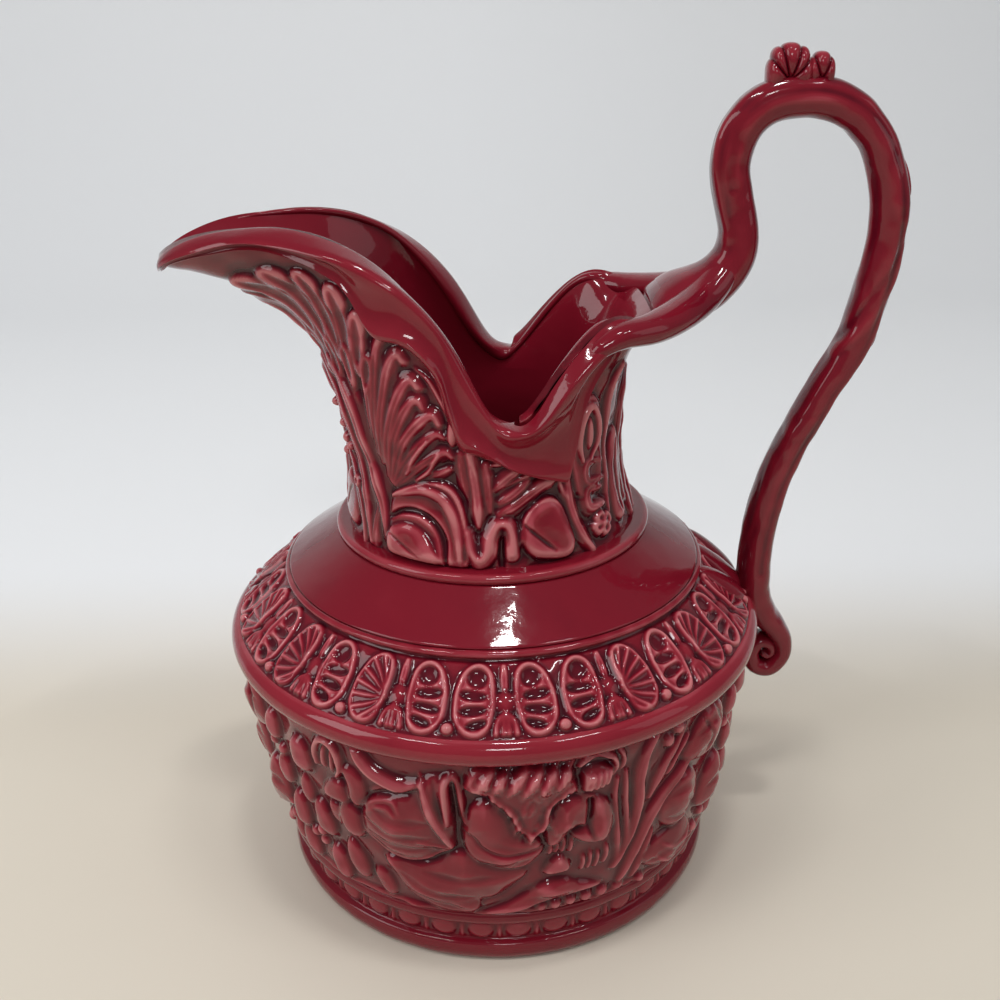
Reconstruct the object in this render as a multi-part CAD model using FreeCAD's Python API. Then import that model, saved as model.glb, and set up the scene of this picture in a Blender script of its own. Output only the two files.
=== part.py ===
import FreeCAD, Part
import math
import os

from FreeCAD import Matrix, Vector

# A glazed pottery wine jug of oinochoe form: spout towards -X, handle towards +X.
# The origin is the centre of the foot on the standing plane. All sizes are millimetres.

# Foot and floor
foot_edge_radius = 83.5
foot_roll_radius = 85.5
foot_roll_height = 8.0
foot_recess_radius = 71.0
foot_recess_height = 5.0
groove_radius = 83.0
groove_height = 9.5
fillet_crest_radius = 86.8
fillet_height = 5.0
foot_top_radius = 86.0
floor_thickness = 7.0
egg_count = 39
egg_half_width = 4.4
egg_half_height = 3.4
egg_proud = 2.2
dart_half_width = 1.0

# Wall of the belly, with its moulded frieze
wall = 6.0
frieze_height = 71.0
frieze_middle_radius = 91.6
frieze_top_radius = 95.3
frieze_proud = 4.2
scene_count = 3

# Belt roll at the widest place
belt_height = 10.5
belt_radius = 101.3
belt_lower_radius = 97.6
belt_upper_radius = 98.4

# Sloping shoulder with palmettes, its ridge, and the smooth band
shoulder_height = 17.5
shoulder_top_radius = 77.6
ridge_height = 3.0
ridge_proud = 1.4
band_height = 13.0
band_top_radius = 58.2
palmette_count = 16
palmette_half_width = 14.6
palmette_proud = 2.6
bead_radius = 2.3
slope_wall = 8.6

# Ring where the neck is luted on
neck_ring_height = 3.5
neck_ring_radius = 58.6

# Neck and mouth
neck_radius = 53.0
neck_height = 41.0
neck_wall_thickness = 4.6
spout_reach = 113.6
mouth_back = 57.0
mouth_half_width = 49.7
lip_rise = 65.7
spout_joint_reach = 72.0
collar_proud = 5.0
collar_drop = 18.0
ornament_proud = 2.8

# Handle
handle_thickness = 10.0
handle_width = 14.0
handle_bulge = 85.6
handle_top_rise = 37.7
handle_landing_offset = 6.6
scroll_radius = 9.4
scroll_tube_radius = 3.6
scroll_drop = 33.0
shell_rib_half_width = 2.7
shell_height = 15.0
shell_half_depth = 8.5

# Clearances
lute_gap = 0.25
floor_gap = 0.3
overrun = 2.0

# Heights of the joints, from the ground up
foot_top = foot_roll_height + groove_height + fillet_height + overrun / 2
frieze_top = foot_top + frieze_height
belt_top = frieze_top + belt_height
shoulder_top = belt_top + shoulder_height
ridge_top = shoulder_top + ridge_height
band_top = ridge_top + band_height
neck_base = band_top + neck_ring_height
neck_top = neck_base + neck_height
lip_top = neck_top + lip_rise
handle_top = lip_top + handle_top_rise

ridge_radius = shoulder_top_radius + ridge_proud
belly_inner_top = frieze_top_radius - wall
shoulder_foot_radius = belt_upper_radius - overrun / 4


def save(name, shape):
    os.makedirs("parts", exist_ok=True)
    shape.exportStep("parts/" + name + ".step")
    volume = sum(solid.Volume for solid in shape.Solids)
    print(name, len(shape.Solids), "solids", round(volume), shape.isValid())


def at(radius, height):
    return Vector(radius, 0, height)


def line(start, end):
    return Part.makeLine(start, end)


def arc(start, middle, end):
    return Part.Arc(start, middle, end).toShape()


def turned(edges):
    # one closed outline in the XZ plane, turned about the jug's axis
    face = Part.Face(Part.Wire(edges))
    return face.revolve(Vector(0, 0, 0), Vector(0, 0, 1), 360)


def direction(angle):
    # angle in degrees from the front, positive towards the handle
    turn = math.radians(angle)
    return Vector(math.sin(turn), -math.cos(turn), 0)


def copies(shape, count, offset_angle=0.0):
    made = []
    for index in range(count):
        item = shape.copy()
        item.rotate(Vector(0, 0, 0), Vector(0, 0, 1), offset_angle + index * 360.0 / count)
        made.extend(item.Solids)
    return made


unit_ball = Part.makeSphere(1)


def pad(seat, half_width, half_height, proud, tilt=0.0, along=0.0, up=0.0):
    # a rounded lump lying on a wall: seat = (point, outward, upward)
    point, outward, upward = seat
    across = upward.cross(outward)
    lean = math.radians(tilt)
    rise = upward * math.cos(lean) + across * math.sin(lean)
    side = across * math.cos(lean) - upward * math.sin(lean)
    centre = point + across * along + upward * up
    grow = Matrix(
        side.x * half_width, rise.x * half_height, outward.x * proud, centre.x,
        side.y * half_width, rise.y * half_height, outward.y * proud, centre.y,
        side.z * half_width, rise.z * half_height, outward.z * proud, centre.z,
        0, 0, 0, 1)
    return unit_ball.transformGeometry(grow)


def joined(shapes):
    if len(shapes) == 1:
        return shapes[0]
    return shapes[0].multiFuse(shapes[1:])


def cone_seat(angle, low, high, share):
    # a place on a wall that runs straight from low to high, both (radius, height)
    outward_flat = direction(angle)
    radius = low[0] + share * (high[0] - low[0])
    height = low[1] + share * (high[1] - low[1])
    run = Vector(high[0] - low[0], high[1] - low[1], 0)
    run.normalize()
    upward = outward_flat * run.x + Vector(0, 0, run.y)
    outward = outward_flat * run.y - Vector(0, 0, run.x)
    return outward_flat * radius + Vector(0, 0, height), outward, upward


# Foot ring: a standing roll, a hollow for the egg and dart, and a small fillet on top


def make_foot_ring():
    roll_top = at(foot_roll_radius - overrun / 4, foot_roll_height)
    hollow_low = at(groove_radius, foot_roll_height + overrun / 2)
    hollow_high = at(groove_radius + overrun / 2, foot_roll_height + groove_height)
    crest = at(fillet_crest_radius, foot_roll_height + groove_height + fillet_height / 2)
    fillet_end = at(foot_top_radius, foot_top - overrun / 2)
    top_out = at(foot_top_radius, foot_top)
    top_in = at(foot_top_radius - wall, foot_top)
    ledge_out = at(foot_top_radius - wall, foot_recess_height)
    ledge_in = at(foot_recess_radius, foot_recess_height)
    toe_in = at(foot_recess_radius + overrun, 0)
    toe_out = at(foot_edge_radius, 0)
    return turned([
        arc(toe_out, at(foot_roll_radius, foot_roll_height / 2), roll_top),
        line(roll_top, hollow_low),
        line(hollow_low, hollow_high),
        arc(hollow_high, crest, fillet_end),
        line(fillet_end, top_out),
        line(top_out, top_in),
        line(top_in, ledge_out),
        line(ledge_out, ledge_in),
        line(ledge_in, toe_in),
        line(toe_in, toe_out)])


def make_floor_disc():
    radius = foot_top_radius - wall - floor_gap
    disc = Part.makeCylinder(radius, floor_thickness, Vector(0, 0, foot_recess_height))
    top = [edge for edge in disc.Edges if edge.BoundBox.ZMin > foot_recess_height + floor_thickness / 2]
    return disc.makeChamfer(overrun / 2, top)


def groove_seat(angle):
    low = (groove_radius, foot_roll_height + overrun / 2)
    high = (groove_radius + overrun / 2, foot_roll_height + groove_height)
    return cone_seat(angle, low, high, 0.5)


def make_foot_eggs(ring):
    egg = pad(groove_seat(0), egg_half_width, egg_half_height, egg_proud).cut(ring)
    return Part.makeCompound(copies(egg, egg_count))


def make_foot_darts(ring):
    dart = pad(groove_seat(0), dart_half_width, egg_half_height, egg_proud).cut(ring)
    return Part.makeCompound(copies(dart, egg_count, 180.0 / egg_count))


# Belly wall, belt roll, shoulder, ridge, band and neck ring


def make_belly_wall():
    middle = foot_top + frieze_height / 2
    low_out = at(foot_top_radius, foot_top)
    high_out = at(frieze_top_radius, frieze_top)
    low_in = at(foot_top_radius - wall, foot_top)
    high_in = at(belly_inner_top, frieze_top)
    return turned([
        arc(low_out, at(frieze_middle_radius, middle), high_out),
        line(high_out, high_in),
        arc(high_in, at(frieze_middle_radius - wall, middle), low_in),
        line(low_in, low_out)])


def make_belt_roll():
    low_in = at(belly_inner_top, frieze_top)
    low_cove = at(frieze_top_radius, frieze_top)
    low_out = at(belt_lower_radius, frieze_top + overrun / 2)
    high_out = at(belt_upper_radius, belt_top)
    high_in = at(shoulder_foot_radius - slope_wall, belt_top)
    crest = at(belt_radius, frieze_top + belt_height / 2)
    return turned([
        line(low_in, low_cove),
        line(low_cove, low_out),
        arc(low_out, crest, high_out),
        line(high_out, high_in),
        line(high_in, low_in)])


def sloped_ring(low_radius, low_height, high_radius, high_height, thickness):
    low_out = at(low_radius, low_height)
    high_out = at(high_radius, high_height)
    high_in = at(high_radius - thickness, high_height)
    low_in = at(low_radius - thickness, low_height)
    return turned([
        line(low_out, high_out),
        line(high_out, high_in),
        line(high_in, low_in),
        line(low_in, low_out)])


def round_ring(radius, inner_low, inner_high, low_height, high_height, proud):
    middle = (low_height + high_height) / 2
    low_out = at(radius - proud, low_height)
    high_out = at(radius - proud, high_height)
    return turned([
        arc(low_out, at(radius, middle), high_out),
        line(high_out, at(inner_high, high_height)),
        line(at(inner_high, high_height), at(inner_low, low_height)),
        line(at(inner_low, low_height), low_out)])


def make_shoulder_ridge():
    return round_ring(
        ridge_radius, shoulder_top_radius - slope_wall, shoulder_top_radius - slope_wall,
        shoulder_top, ridge_top, ridge_proud)


def make_neck_ring():
    inner = neck_radius - neck_wall_thickness
    return round_ring(
        neck_ring_radius, band_top_radius - slope_wall, inner,
        band_top, neck_base, ridge_proud)


# Palmettes: a two-lobed heart with petals fanned round it, sprigged on the shoulder

petal_turn_shares = [-0.80, -0.62, -0.46, -0.30, -0.15, 0.15, 0.30, 0.46, 0.62, 0.80, 1.0]


def shoulder_seat(angle, share):
    low = (shoulder_foot_radius, belt_top)
    high = (shoulder_top_radius, shoulder_top)
    return cone_seat(angle, low, high, share)


def make_palmettes(walls, taken):
    seat = shoulder_seat(2.0, 0.44)
    lobe = palmette_half_width / 2
    shapes = []
    for side in (-1, 1):
        shapes.append(pad(seat, lobe, lobe * 1.55, palmette_proud / 2, side * 14.0, side * lobe, lobe * 0.1))
    shapes.append(pad(seat, lobe * 1.2, lobe * 0.9, palmette_proud / 2, 0.0, 0.0, -lobe * 0.9))
    for share in petal_turn_shares:
        turn = share * 180.0
        reach = lobe * (0.95 + 0.35 * abs(math.sin(math.radians(turn))))
        along = reach * math.sin(math.radians(turn))
        up = reach * math.cos(math.radians(turn)) - lobe * 0.1
        shapes.append(pad(seat, lobe * 0.24, lobe * 0.75, palmette_proud, turn, along, up))
    heart = clear_of(joined(shapes), walls)
    solids = copies(heart, palmette_count)
    return Part.makeCompound([clear_of(solid, taken) for solid in solids])


def make_shoulder_beads(shell, taken):
    seat = shoulder_seat(2.0 + 180.0 / palmette_count, 0.16)
    bead = pad(seat, bead_radius, bead_radius, bead_radius).cut(shell)
    solids = copies(bead, palmette_count)
    kept = []
    for solid in solids:
        rest = clear_of(solid, taken)
        if rest.Volume > solid.Volume * 0.98:
            kept.append(solid)
    return Part.makeCompound(kept)


def clear_of(solid, others):
    # cut away only what a neighbour really reaches, so that the rest stays as it is
    near = [other for other in others if solid.BoundBox.intersect(other.BoundBox)]
    for other in near:
        solid = solid.cut(other)
    return solid


# Neck and mouth. A meridian at each plan angle runs up the neck and out to the lip.
# Rows of the neck: height share, and the front, back and side radius shares

neck_row_shares = [
    (0.0, 1.0, 0.985, 1.0),
    (0.34, 0.975, 0.90, 0.94),
    (0.70, 0.965, 0.865, 0.90),
    (1.0, 1.0, 0.875, 0.90)]

# The lip, from the handle round to the spout tip: plan angle, then shares of the
# mouth's back or the spout's reach, of the mouth's half width and of the lip's rise

lip_turn_shares = [
    (0.0, 1.0, 0.0, 0.52),
    (14.0, 0.99, 0.38, 0.51),
    (28.0, 0.928, 0.68, 0.50),
    (40.0, 0.753, 0.767, 0.565),
    (50.0, 0.577, 0.855, 0.484),
    (63.0, 0.374, 0.958, 0.286),
    (77.0, 0.198, 1.0, 0.125),
    (91.0, -0.004, 0.893, 0.174),
    (107.0, -0.12, 0.785, 0.514),
    (122.0, -0.267, 0.75, 0.808),
    (137.0, -0.443, 0.644, 0.957),
    (150.0, -0.634, 0.459, 1.0),
    (163.0, -0.824, 0.356, 0.955),
    (172.0, -0.955, 0.19, 0.86),
    (180.0, -1.0, 0.0, 0.79)]

# How far the turned-over collar comes down below the lip, by plan angle

collar_drop_shares = [
    (0.0, 0.7), (28.0, 0.78), (40.0, 0.85), (50.0, 1.0), (63.0, 1.1), (77.0, 1.0), (91.0, 0.85),
    (107.0, 0.68), (122.0, 0.66), (137.0, 0.55), (150.0, 0.4), (163.0, 0.3), (180.0, 0.24)]

# The collar's section from its lower edge up to the crest: drop share, proud share

collar_section_shares = [(1.0, 0.72), (0.86, 0.9), (0.6, 0.72), (0.35, 0.75), (0.14, 1.1), (0.0, 0.8)]

meridian_steps = 48
plan_step = 5


def closed_curve(points, turns):
    curve = Part.BSplineCurve()
    curve.interpolate(Points=points + [points[0]], Parameters=turns + [360.0])
    return curve


def make_lip_curve():
    points = []
    turns = []
    for turn, along, side, rise in lip_turn_shares:
        reach = mouth_back if along > 0 else spout_reach
        points.append(Vector(along * reach, -side * mouth_half_width, neck_top + rise * lip_rise))
        turns.append(turn)
    for turn, along, side, rise in reversed(lip_turn_shares[1:-1]):
        reach = mouth_back if along > 0 else spout_reach
        points.append(Vector(along * reach, side * mouth_half_width, neck_top + rise * lip_rise))
        turns.append(360.0 - turn)
    return closed_curve(points, turns)


lip_curve = make_lip_curve()


def between(table, value):
    # straight-line reading of a table whose first column grows
    for low, high in zip(table, table[1:]):
        if value <= high[0]:
            mix = (value - low[0]) / (high[0] - low[0])
            return [a + mix * (b - a) for a, b in zip(low, high)]
    return list(table[-1])


def smooth_between(table, value):
    # the same, eased through the rows by a cubic
    columns = len(table[0])
    last = len(table) - 1
    for index in range(last):
        low = table[index]
        high = table[index + 1]
        if value <= high[0] or index == last - 1:
            before = table[max(index - 1, 0)]
            after = table[min(index + 2, last)]
            span = high[0] - low[0]
            mix = (value - low[0]) / span
            read = [value]
            for column in range(1, columns):
                slope_low = (high[column] - before[column]) / (high[0] - before[0]) * span
                slope_high = (after[column] - low[column]) / (after[0] - low[0]) * span
                a = 2 * mix ** 3 - 3 * mix ** 2 + 1
                b = mix ** 3 - 2 * mix ** 2 + mix
                c = 3 * mix ** 2 - 2 * mix ** 3
                d = mix ** 3 - mix ** 2
                read.append(a * low[column] + b * slope_low + c * high[column] + d * slope_high)
            return read
    return list(table[-1])


def neck_point(turn, share):
    row = smooth_between(neck_row_shares, share)
    angle = math.radians(turn)
    lengthwise = row[2] if math.cos(angle) > 0 else row[1]
    return Vector(
        math.cos(angle) * lengthwise * neck_radius,
        -math.sin(angle) * row[3] * neck_radius,
        neck_base + share * neck_height)


rise_shares = (0.12, 0.58)
flare_shares = (0.74, 0.145)


def outer_point(turn, level):
    # level -1 is the neck's base, 0 its top and 1 the lip
    if level <= 0:
        return neck_point(turn, level + 1)
    start = neck_point(turn, 1)
    end = lip_curve.value(turn % 360.0)
    span = end - start
    first = start + Vector(span.x * rise_shares[0], span.y * rise_shares[0], span.z * rise_shares[1])
    second = end - Vector(span.x * flare_shares[0], span.y * flare_shares[0], span.z * flare_shares[1])
    back = 1 - level
    return (start * back ** 3 + first * (3 * back ** 2 * level)
            + second * (3 * back * level ** 2) + end * level ** 3)


probe_turn = 0.5
probe_level = 0.01


def outward_at(turn, level):
    low = max(level - probe_level, -1)
    high = min(level + probe_level, 1)
    along = outer_point(turn + probe_turn, level) - outer_point(turn - probe_turn, level)
    rise = outer_point(turn, high) - outer_point(turn, low)
    outward = rise.cross(along)
    outward.normalize()
    return outward


def wall_skin(levels, turns, offset):
    rows = []
    for level in levels:
        rows.append([outer_point(turn, level) + outward_at(turn, level) * offset for turn in turns])
    return rows


def skin_face(rows):
    surface = Part.BSplineSurface()
    surface.interpolate(rows)
    return surface


def row_edge(surface, first):
    low, high, _, _ = surface.bounds()
    return surface.uIso(low if first else high).toShape()


def column_edge(surface, first):
    _, _, low, high = surface.bounds()
    return surface.vIso(low if first else high).toShape()


def solid_between(outer_rows, inner_rows, closed):
    outer = skin_face(outer_rows)
    inner = skin_face(inner_rows)
    faces = [outer.toShape(), inner.toShape()]
    for first in (True, False):
        faces.append(Part.makeRuledSurface(row_edge(outer, first), row_edge(inner, first)))
        if not closed:
            faces.append(Part.makeRuledSurface(column_edge(outer, first), column_edge(inner, first)))
    shell = Part.Shell([face for part in faces for face in part.Faces])
    shell.sewShape()
    solid = Part.Solid(shell)
    if solid.Volume < 0:
        solid.reverse()
    return solid


all_turns = [turn for turn in range(0, 361, plan_step)]


def make_neck_wall():
    levels = [-1 + step / 6 for step in range(7)]
    outer = wall_skin(levels, all_turns, 0)
    inner = []
    for row in outer:
        inner.append([inset(point) for point in row])
    return solid_between(outer, inner, True)


def inset(point):
    # a level step inwards, so that the neck's two ends stay flat
    flat = Vector(point.x, point.y, 0)
    length = flat.Length
    return point - flat * (neck_wall_thickness / length)


def make_mouth():
    levels = [step / 14 for step in range(15)]
    outer = wall_skin(levels, all_turns, 0)
    inner = []
    for level in levels:
        row = []
        for turn in all_turns:
            point = outer_point(turn, level)
            straight = inset(point) - point
            square = outward_at(turn, level) * -neck_wall_thickness
            mix = min(level * 2, 1)
            row.append(point + straight * (1 - mix) + square * mix)
        inner.append(row)
    return solid_between(outer, inner, True)


def split_spout(mouth):
    far = spout_reach + lip_rise
    room = Part.makeBox(far, far * 2, far * 2, Vector(-spout_joint_reach - far, -far, neck_top - far / 2))
    return mouth.cut(room), mouth.common(room)


def meridian_below_lip(turn, drop):
    # the level that lies a given length below the lip along the wall
    last = outer_point(turn, 1)
    length = 0.0
    previous = 1.0
    for step in range(1, meridian_steps * 2 + 1):
        level = 1 - step / meridian_steps
        point = outer_point(turn, level)
        stride = (point - last).Length
        if length + stride >= drop:
            return previous + (level - previous) * (drop - length) / stride
        length += stride
        last = point
        previous = level
    return -1.0


collar_first_turn = 30
collar_turns = [turn for turn in range(collar_first_turn, 181, plan_step)]


def collar_directions(levels, turn):
    # each row's own way out of the wall, and the one way that the whole section stands out along
    ways = []
    for level in levels:
        way = outward_at(turn, level)
        if turn == 180:
            way = Vector(way.x, 0, way.z)
            way.normalize()
        ways.append(way)
    common = Vector(0, 0, 0)
    for way in ways:
        common = common + way
    common.normalize()
    return ways, common


def make_lip_collar(mirrored):
    outer = [[] for row in collar_section_shares]
    inner = [[] for row in collar_section_shares]
    for turn in collar_turns:
        reach = between(collar_drop_shares, turn)[1] * collar_drop
        levels = []
        for drop_share, proud_share in collar_section_shares:
            levels.append(meridian_below_lip(turn, reach * drop_share) if drop_share > 0 else 1.0)
        ways, common = collar_directions(levels, turn)
        for row, level in enumerate(levels):
            point = outer_point(turn, level)
            outer[row].append(point + common * (collar_proud * collar_section_shares[row][1]))
            inner[row].append(point + ways[row] * lute_gap)
    collar = solid_between(outer, inner, False)
    if mirrored:
        collar = collar.mirror(Vector(0, 0, 0), Vector(0, 1, 0))
    return collar


# Handle: one loop that leaves the back of the lip, climbs, arches over and drops to the shoulder.
# Rows: outward share of the bulge, height share, thickness share, width share

handle_shares = [
    (0.05, 0.598, 2.3, 3.6),
    (0.183, 0.631, 1.85, 2.2),
    (0.305, 0.660, 1.68, 1.55),
    (0.385, 0.705, 1.5, 1.3),
    (0.398, 0.760, 1.4, 1.15),
    (0.367, 0.820, 1.36, 1.05),
    (0.345, 0.881, 1.3, 1.0),
    (0.381, 0.943, 1.2, 1.0),
    (0.480, 0.988, 1.05, 1.0),
    (0.614, 1.0, 0.95, 1.0),
    (0.735, 0.992, 0.98, 1.0),
    (0.845, 0.962, 1.0, 1.0),
    (0.930, 0.912, 0.95, 1.0),
    (0.988, 0.836, 0.95, 1.0),
    (1.0, 0.740, 1.0, 1.0),
    (0.954, 0.615, 1.0, 1.0),
    (0.835, 0.530, 1.0, 1.0),
    (0.598, 0.414, 1.0, 1.0),
    (0.328, 0.269, 1.0, 1.05),
    (0.141, 0.134, 1.05, 1.1),
    (0.030, 0.030, 1.15, 1.2),
    (-0.020, -0.030, 1.2, 1.25)]

landing_height = belt_top + overrun
landing_reach = shoulder_foot_radius + handle_landing_offset / 2
path_top = handle_top


def handle_point(outward, rise):
    height = landing_height + rise * (path_top - landing_height)
    climb = (height - landing_height) / (neck_top + lip_rise / 2 - landing_height)
    chord = landing_reach + (mouth_back * 0.9 - landing_reach) * min(max(climb, 0), 1)
    return Vector(chord + outward * handle_bulge, 0, height)


def section_ring(centre, forward, thickness, width):
    # an oval of eight points, closed by a smooth curve that always starts on the same side
    side = Vector(0, 1, 0)
    across = forward.cross(side)
    across.normalize()
    points = []
    for index in range(8):
        turn = index * math.pi / 4
        points.append(centre + across * (math.cos(turn) * thickness / 2) + side * (math.sin(turn) * width / 2))
    curve = Part.BSplineCurve()
    curve.interpolate(Points=points, PeriodicFlag=True)
    return Part.Wire(curve.toShape())


def lofted(places, stride):
    # rings set at even strides along the smooth curve through the places
    curve = Part.BSplineCurve()
    curve.interpolate([place[0] for place in places])
    stations = [curve.parameter(place[0]) for place in places]
    table = [(station, place[1], place[2]) for station, place in zip(stations, places)]
    count = max(int(curve.length() / stride), len(places))
    low, high = curve.FirstParameter, curve.LastParameter
    rings = []
    for index in range(count + 1):
        length = curve.length() * index / count
        station = curve.parameterAtDistance(length, low) if index < count else high
        _, thickness, width = between(table, station)
        forward = curve.tangent(station)[0]
        rings.append(section_ring(curve.value(station), forward, thickness, width))
    return Part.makeLoft(rings, True, False)


def make_handle_strap():
    places = []
    for outward, rise, thick, wide in handle_shares:
        places.append((handle_point(outward, rise), thick * handle_thickness, wide * handle_width))
    return lofted(places, handle_thickness)


# Tail: from the landing the handle runs on over the belt roll and curls into a scroll


def scroll_centre():
    height = landing_height - scroll_drop
    return Vector(belt_radius + scroll_radius * 0.82, 0, height)


def make_handle_tail():
    centre = scroll_centre()
    first = handle_point(handle_shares[-3][0], handle_shares[-3][1])
    second = handle_point(handle_shares[-2][0], handle_shares[-2][1])
    over_roll = Vector(belt_radius + handle_thickness * 0.5, 0, landing_height - scroll_drop * 0.24)
    below_roll = Vector(belt_radius + handle_thickness * 0.95, 0, landing_height - scroll_drop * 0.52)
    places = [
        (first, handle_thickness * 1.05, handle_width * 1.1),
        (second, handle_thickness * 1.15, handle_width * 1.2),
        (over_roll, handle_thickness * 1.0, handle_width * 1.1),
        (below_roll, handle_thickness * 0.9, handle_width)]
    steps = 16
    for step in range(steps + 1):
        share = step / steps
        turn = share * 1.5 * 2 * math.pi
        radius = scroll_radius * (1 - 0.62 * share)
        point = centre + Vector(radius * math.cos(turn), 0, -radius * math.sin(turn))
        thickness = scroll_tube_radius * 2 * (1 - 0.45 * share)
        places.append((point, thickness, handle_width * (0.95 - 0.15 * share)))
    return lofted(places, scroll_tube_radius)


def half_room(low, high):
    # the room between two heights, wide enough for the whole jug
    reach = spout_reach * 2
    return Part.makeBox(reach * 2, reach * 2, high - low, Vector(-reach, -reach, low))


def handle_seat(row, side):
    # a place on the handle's skin at one of its rows; side 1 is the outer side, -1 the inner
    before = handle_point(*handle_shares[row - 1][:2])
    centre = handle_point(*handle_shares[row][:2])
    after = handle_point(*handle_shares[row + 1][:2])
    forward = after - before
    forward.normalize()
    out = Vector(0, -side, 0).cross(forward)
    return centre + out * (handle_thickness * handle_shares[row][2] / 2), out


def make_handle_shells(strap):
    # two scallops on the crown of the arch, each of upright ribs on one level seat
    seat_height = strap.optimalBoundingBox().ZMax + lute_gap
    below = half_room(0, seat_height)
    shells = []
    for start_share, ribs, height_share in ((0.465, 5, 1.0), (0.660, 3, 0.72)):
        pieces = []
        foot = handle_point(start_share, 1.0)
        for index in range(ribs):
            spread = index - (ribs - 1) / 2
            crown = 1 - 0.28 * (2 * spread / ribs) ** 2
            centre = Vector(foot.x + index * shell_rib_half_width * 1.25, 0, seat_height)
            seat = (centre, Vector(0, -1, 0), Vector(0, 0, 1))
            high = shell_height * height_share * crown * 0.75
            pieces.append(pad(seat, shell_rib_half_width, high, shell_half_depth * height_share * crown))
        shells.append(biggest(joined(pieces).cut(below)))
    return Part.makeCompound(shells)


def biggest(shape):
    return sorted(shape.Solids, key=lambda solid: solid.Volume)[-1]


# Cut twigs: handle row, side of the handle, size share

twig_shares = [(14, 1, 1.0), (6, -1, 1.0), (4, 1, 1.2), (16, 1, 0.9), (18, -1, 0.8)]


def make_handle_twigs():
    solids = []
    for row, side, size in twig_shares:
        point, out = handle_seat(row, side)
        radius = handle_thickness * 0.24 * size
        foot = point + out * (lute_gap * 2)
        solids.append(Part.makeCone(radius, radius * 0.6, handle_thickness * 0.32 * size, foot, out))
    return Part.makeCompound(solids)


def make_root_leaves(walls, strap_parts):
    shapes = []
    for side in (-1, 0, 1):
        seat = shoulder_seat(90.0 + side * 9.5, 0.52)
        long_half = palmette_half_width * (1.1 if side == 0 else 0.95)
        shapes.append(pad(seat, palmette_half_width * 0.42, long_half, ornament_proud * 1.2, side * 22.0))
    leaves = joined(shapes)
    for other in walls + strap_parts:
        leaves = leaves.cut(other)
    solids = [solid for solid in leaves.Solids if solid.Volume > ornament_proud ** 3]
    return Part.makeCompound(solids)


def belly_seat(angle, share):
    low = (foot_top_radius, foot_top)
    middle = (frieze_middle_radius, foot_top + frieze_height / 2)
    high = (frieze_top_radius, frieze_top)
    if share < 0.5:
        return cone_seat(angle, low, middle, share * 2)
    return cone_seat(angle, middle, high, share * 2 - 1)


def make_drop_leaf(belly, tail):
    stem = pad(belly_seat(90.0, 0.52), handle_width * 0.42, frieze_height * 0.22, frieze_proud * 1.1)
    leaf = joined([
        stem,
        pad(belly_seat(86.5, 0.42), handle_width * 0.3, frieze_height * 0.1, frieze_proud, -25.0),
        pad(belly_seat(93.5, 0.42), handle_width * 0.3, frieze_height * 0.1, frieze_proud, 25.0)])
    boss = pad(belly_seat(90.0, 0.66), handle_width * 0.36, handle_width * 0.36, frieze_proud * 1.9)
    return biggest(joined([leaf, boss]).cut(belly).cut(tail))


# Frieze: three repeats of one vintage scene, each piece sprigged on the belly wall.
# Rows: angle from the scene's middle, height share, half width share and half height
# share of the frieze height, proud share, tilt

figure_shares = [
    (-15.0, 0.17, 0.23, 0.125, 1.0, -82.0 + 90.0),
    (4.0, 0.155, 0.24, 0.135, 0.95, 4.0),
    (3.0, 0.41, 0.24, 0.115, 1.05, -8.0),
    (15.5, 0.50, 0.075, 0.15, 0.95, 28.0),
    (23.5, 0.55, 0.065, 0.17, 1.0, -8.0),
    (20.0, 0.78, 0.075, 0.065, 1.1, 10.0)]

drapery_shares = [
    (-21.0, 0.53, 0.20, 0.21, 1.0, 10.0),
    (-27.5, 0.40, 0.09, 0.17, 0.95, -12.0),
    (-12.6, 0.70, 0.045, 0.24, 1.05, -3.0),
    (-7.4, 0.74, 0.042, 0.19, 1.05, -4.0)]

fleece_shares = [
    (1.0, 0.79, 0.13, 0.17, 1.0, 18.0),
    (7.5, 0.80, 0.13, 0.17, 1.05, 0.0),
    (13.0, 0.75, 0.10, 0.17, 0.95, -20.0)]

horn_shares = [
    (-27.5, 0.93, 0.10, 0.045, 1.0, 20.0),
    (-20.5, 0.86, 0.11, 0.045, 1.0, 18.0)]

rock_shares = [
    (-26.5, 0.07, 0.09, 0.055, 0.8, 0.0),
    (18.0, 0.12, 0.12, 0.06, 0.9, -12.0),
    (27.0, 0.07, 0.08, 0.05, 0.8, 0.0),
    (43.0, 0.08, 0.10, 0.06, 0.9, 0.0),
    (54.0, 0.07, 0.09, 0.05, 0.8, 0.0)]

reed_shares = [
    (32.0, 0.45, 0.035, 0.41, 0.9, 4.0),
    (35.8, 0.50, 0.035, 0.40, 1.0, 8.0),
    (39.6, 0.48, 0.035, 0.36, 0.9, 14.0)]

vine_leaf_shares = [
    (-56.0, 0.84, 0.11, 0.11, 0.8, 20.0),
    (-37.0, 0.73, 0.075, 0.09, 0.8, -30.0),
    (47.0, 0.86, 0.11, 0.10, 0.8, -10.0),
    (51.0, 0.33, 0.11, 0.14, 1.0, 12.0)]

fruit_shares = [
    (-45.5, 0.80, 0.095, 0.105, 1.15, 0.0),
    (49.5, 0.60, 0.085, 0.105, 1.15, 0.0)]


def sprigged(rows, seat_of, size, proud, walls):
    shapes = []
    for angle, share, wide, high, stand, tilt in rows:
        shapes.append(pad(seat_of(angle, share), wide * size, high * size, stand * proud, tilt))
    group = joined(shapes)
    group = clear_of(group, walls)
    floor_volume = proud ** 3 / 2
    return [solid for solid in group.Solids if solid.Volume > floor_volume]


def repeated(solids, count):
    made = []
    for solid in solids:
        made.extend(copies(solid, count))
    return made


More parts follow.
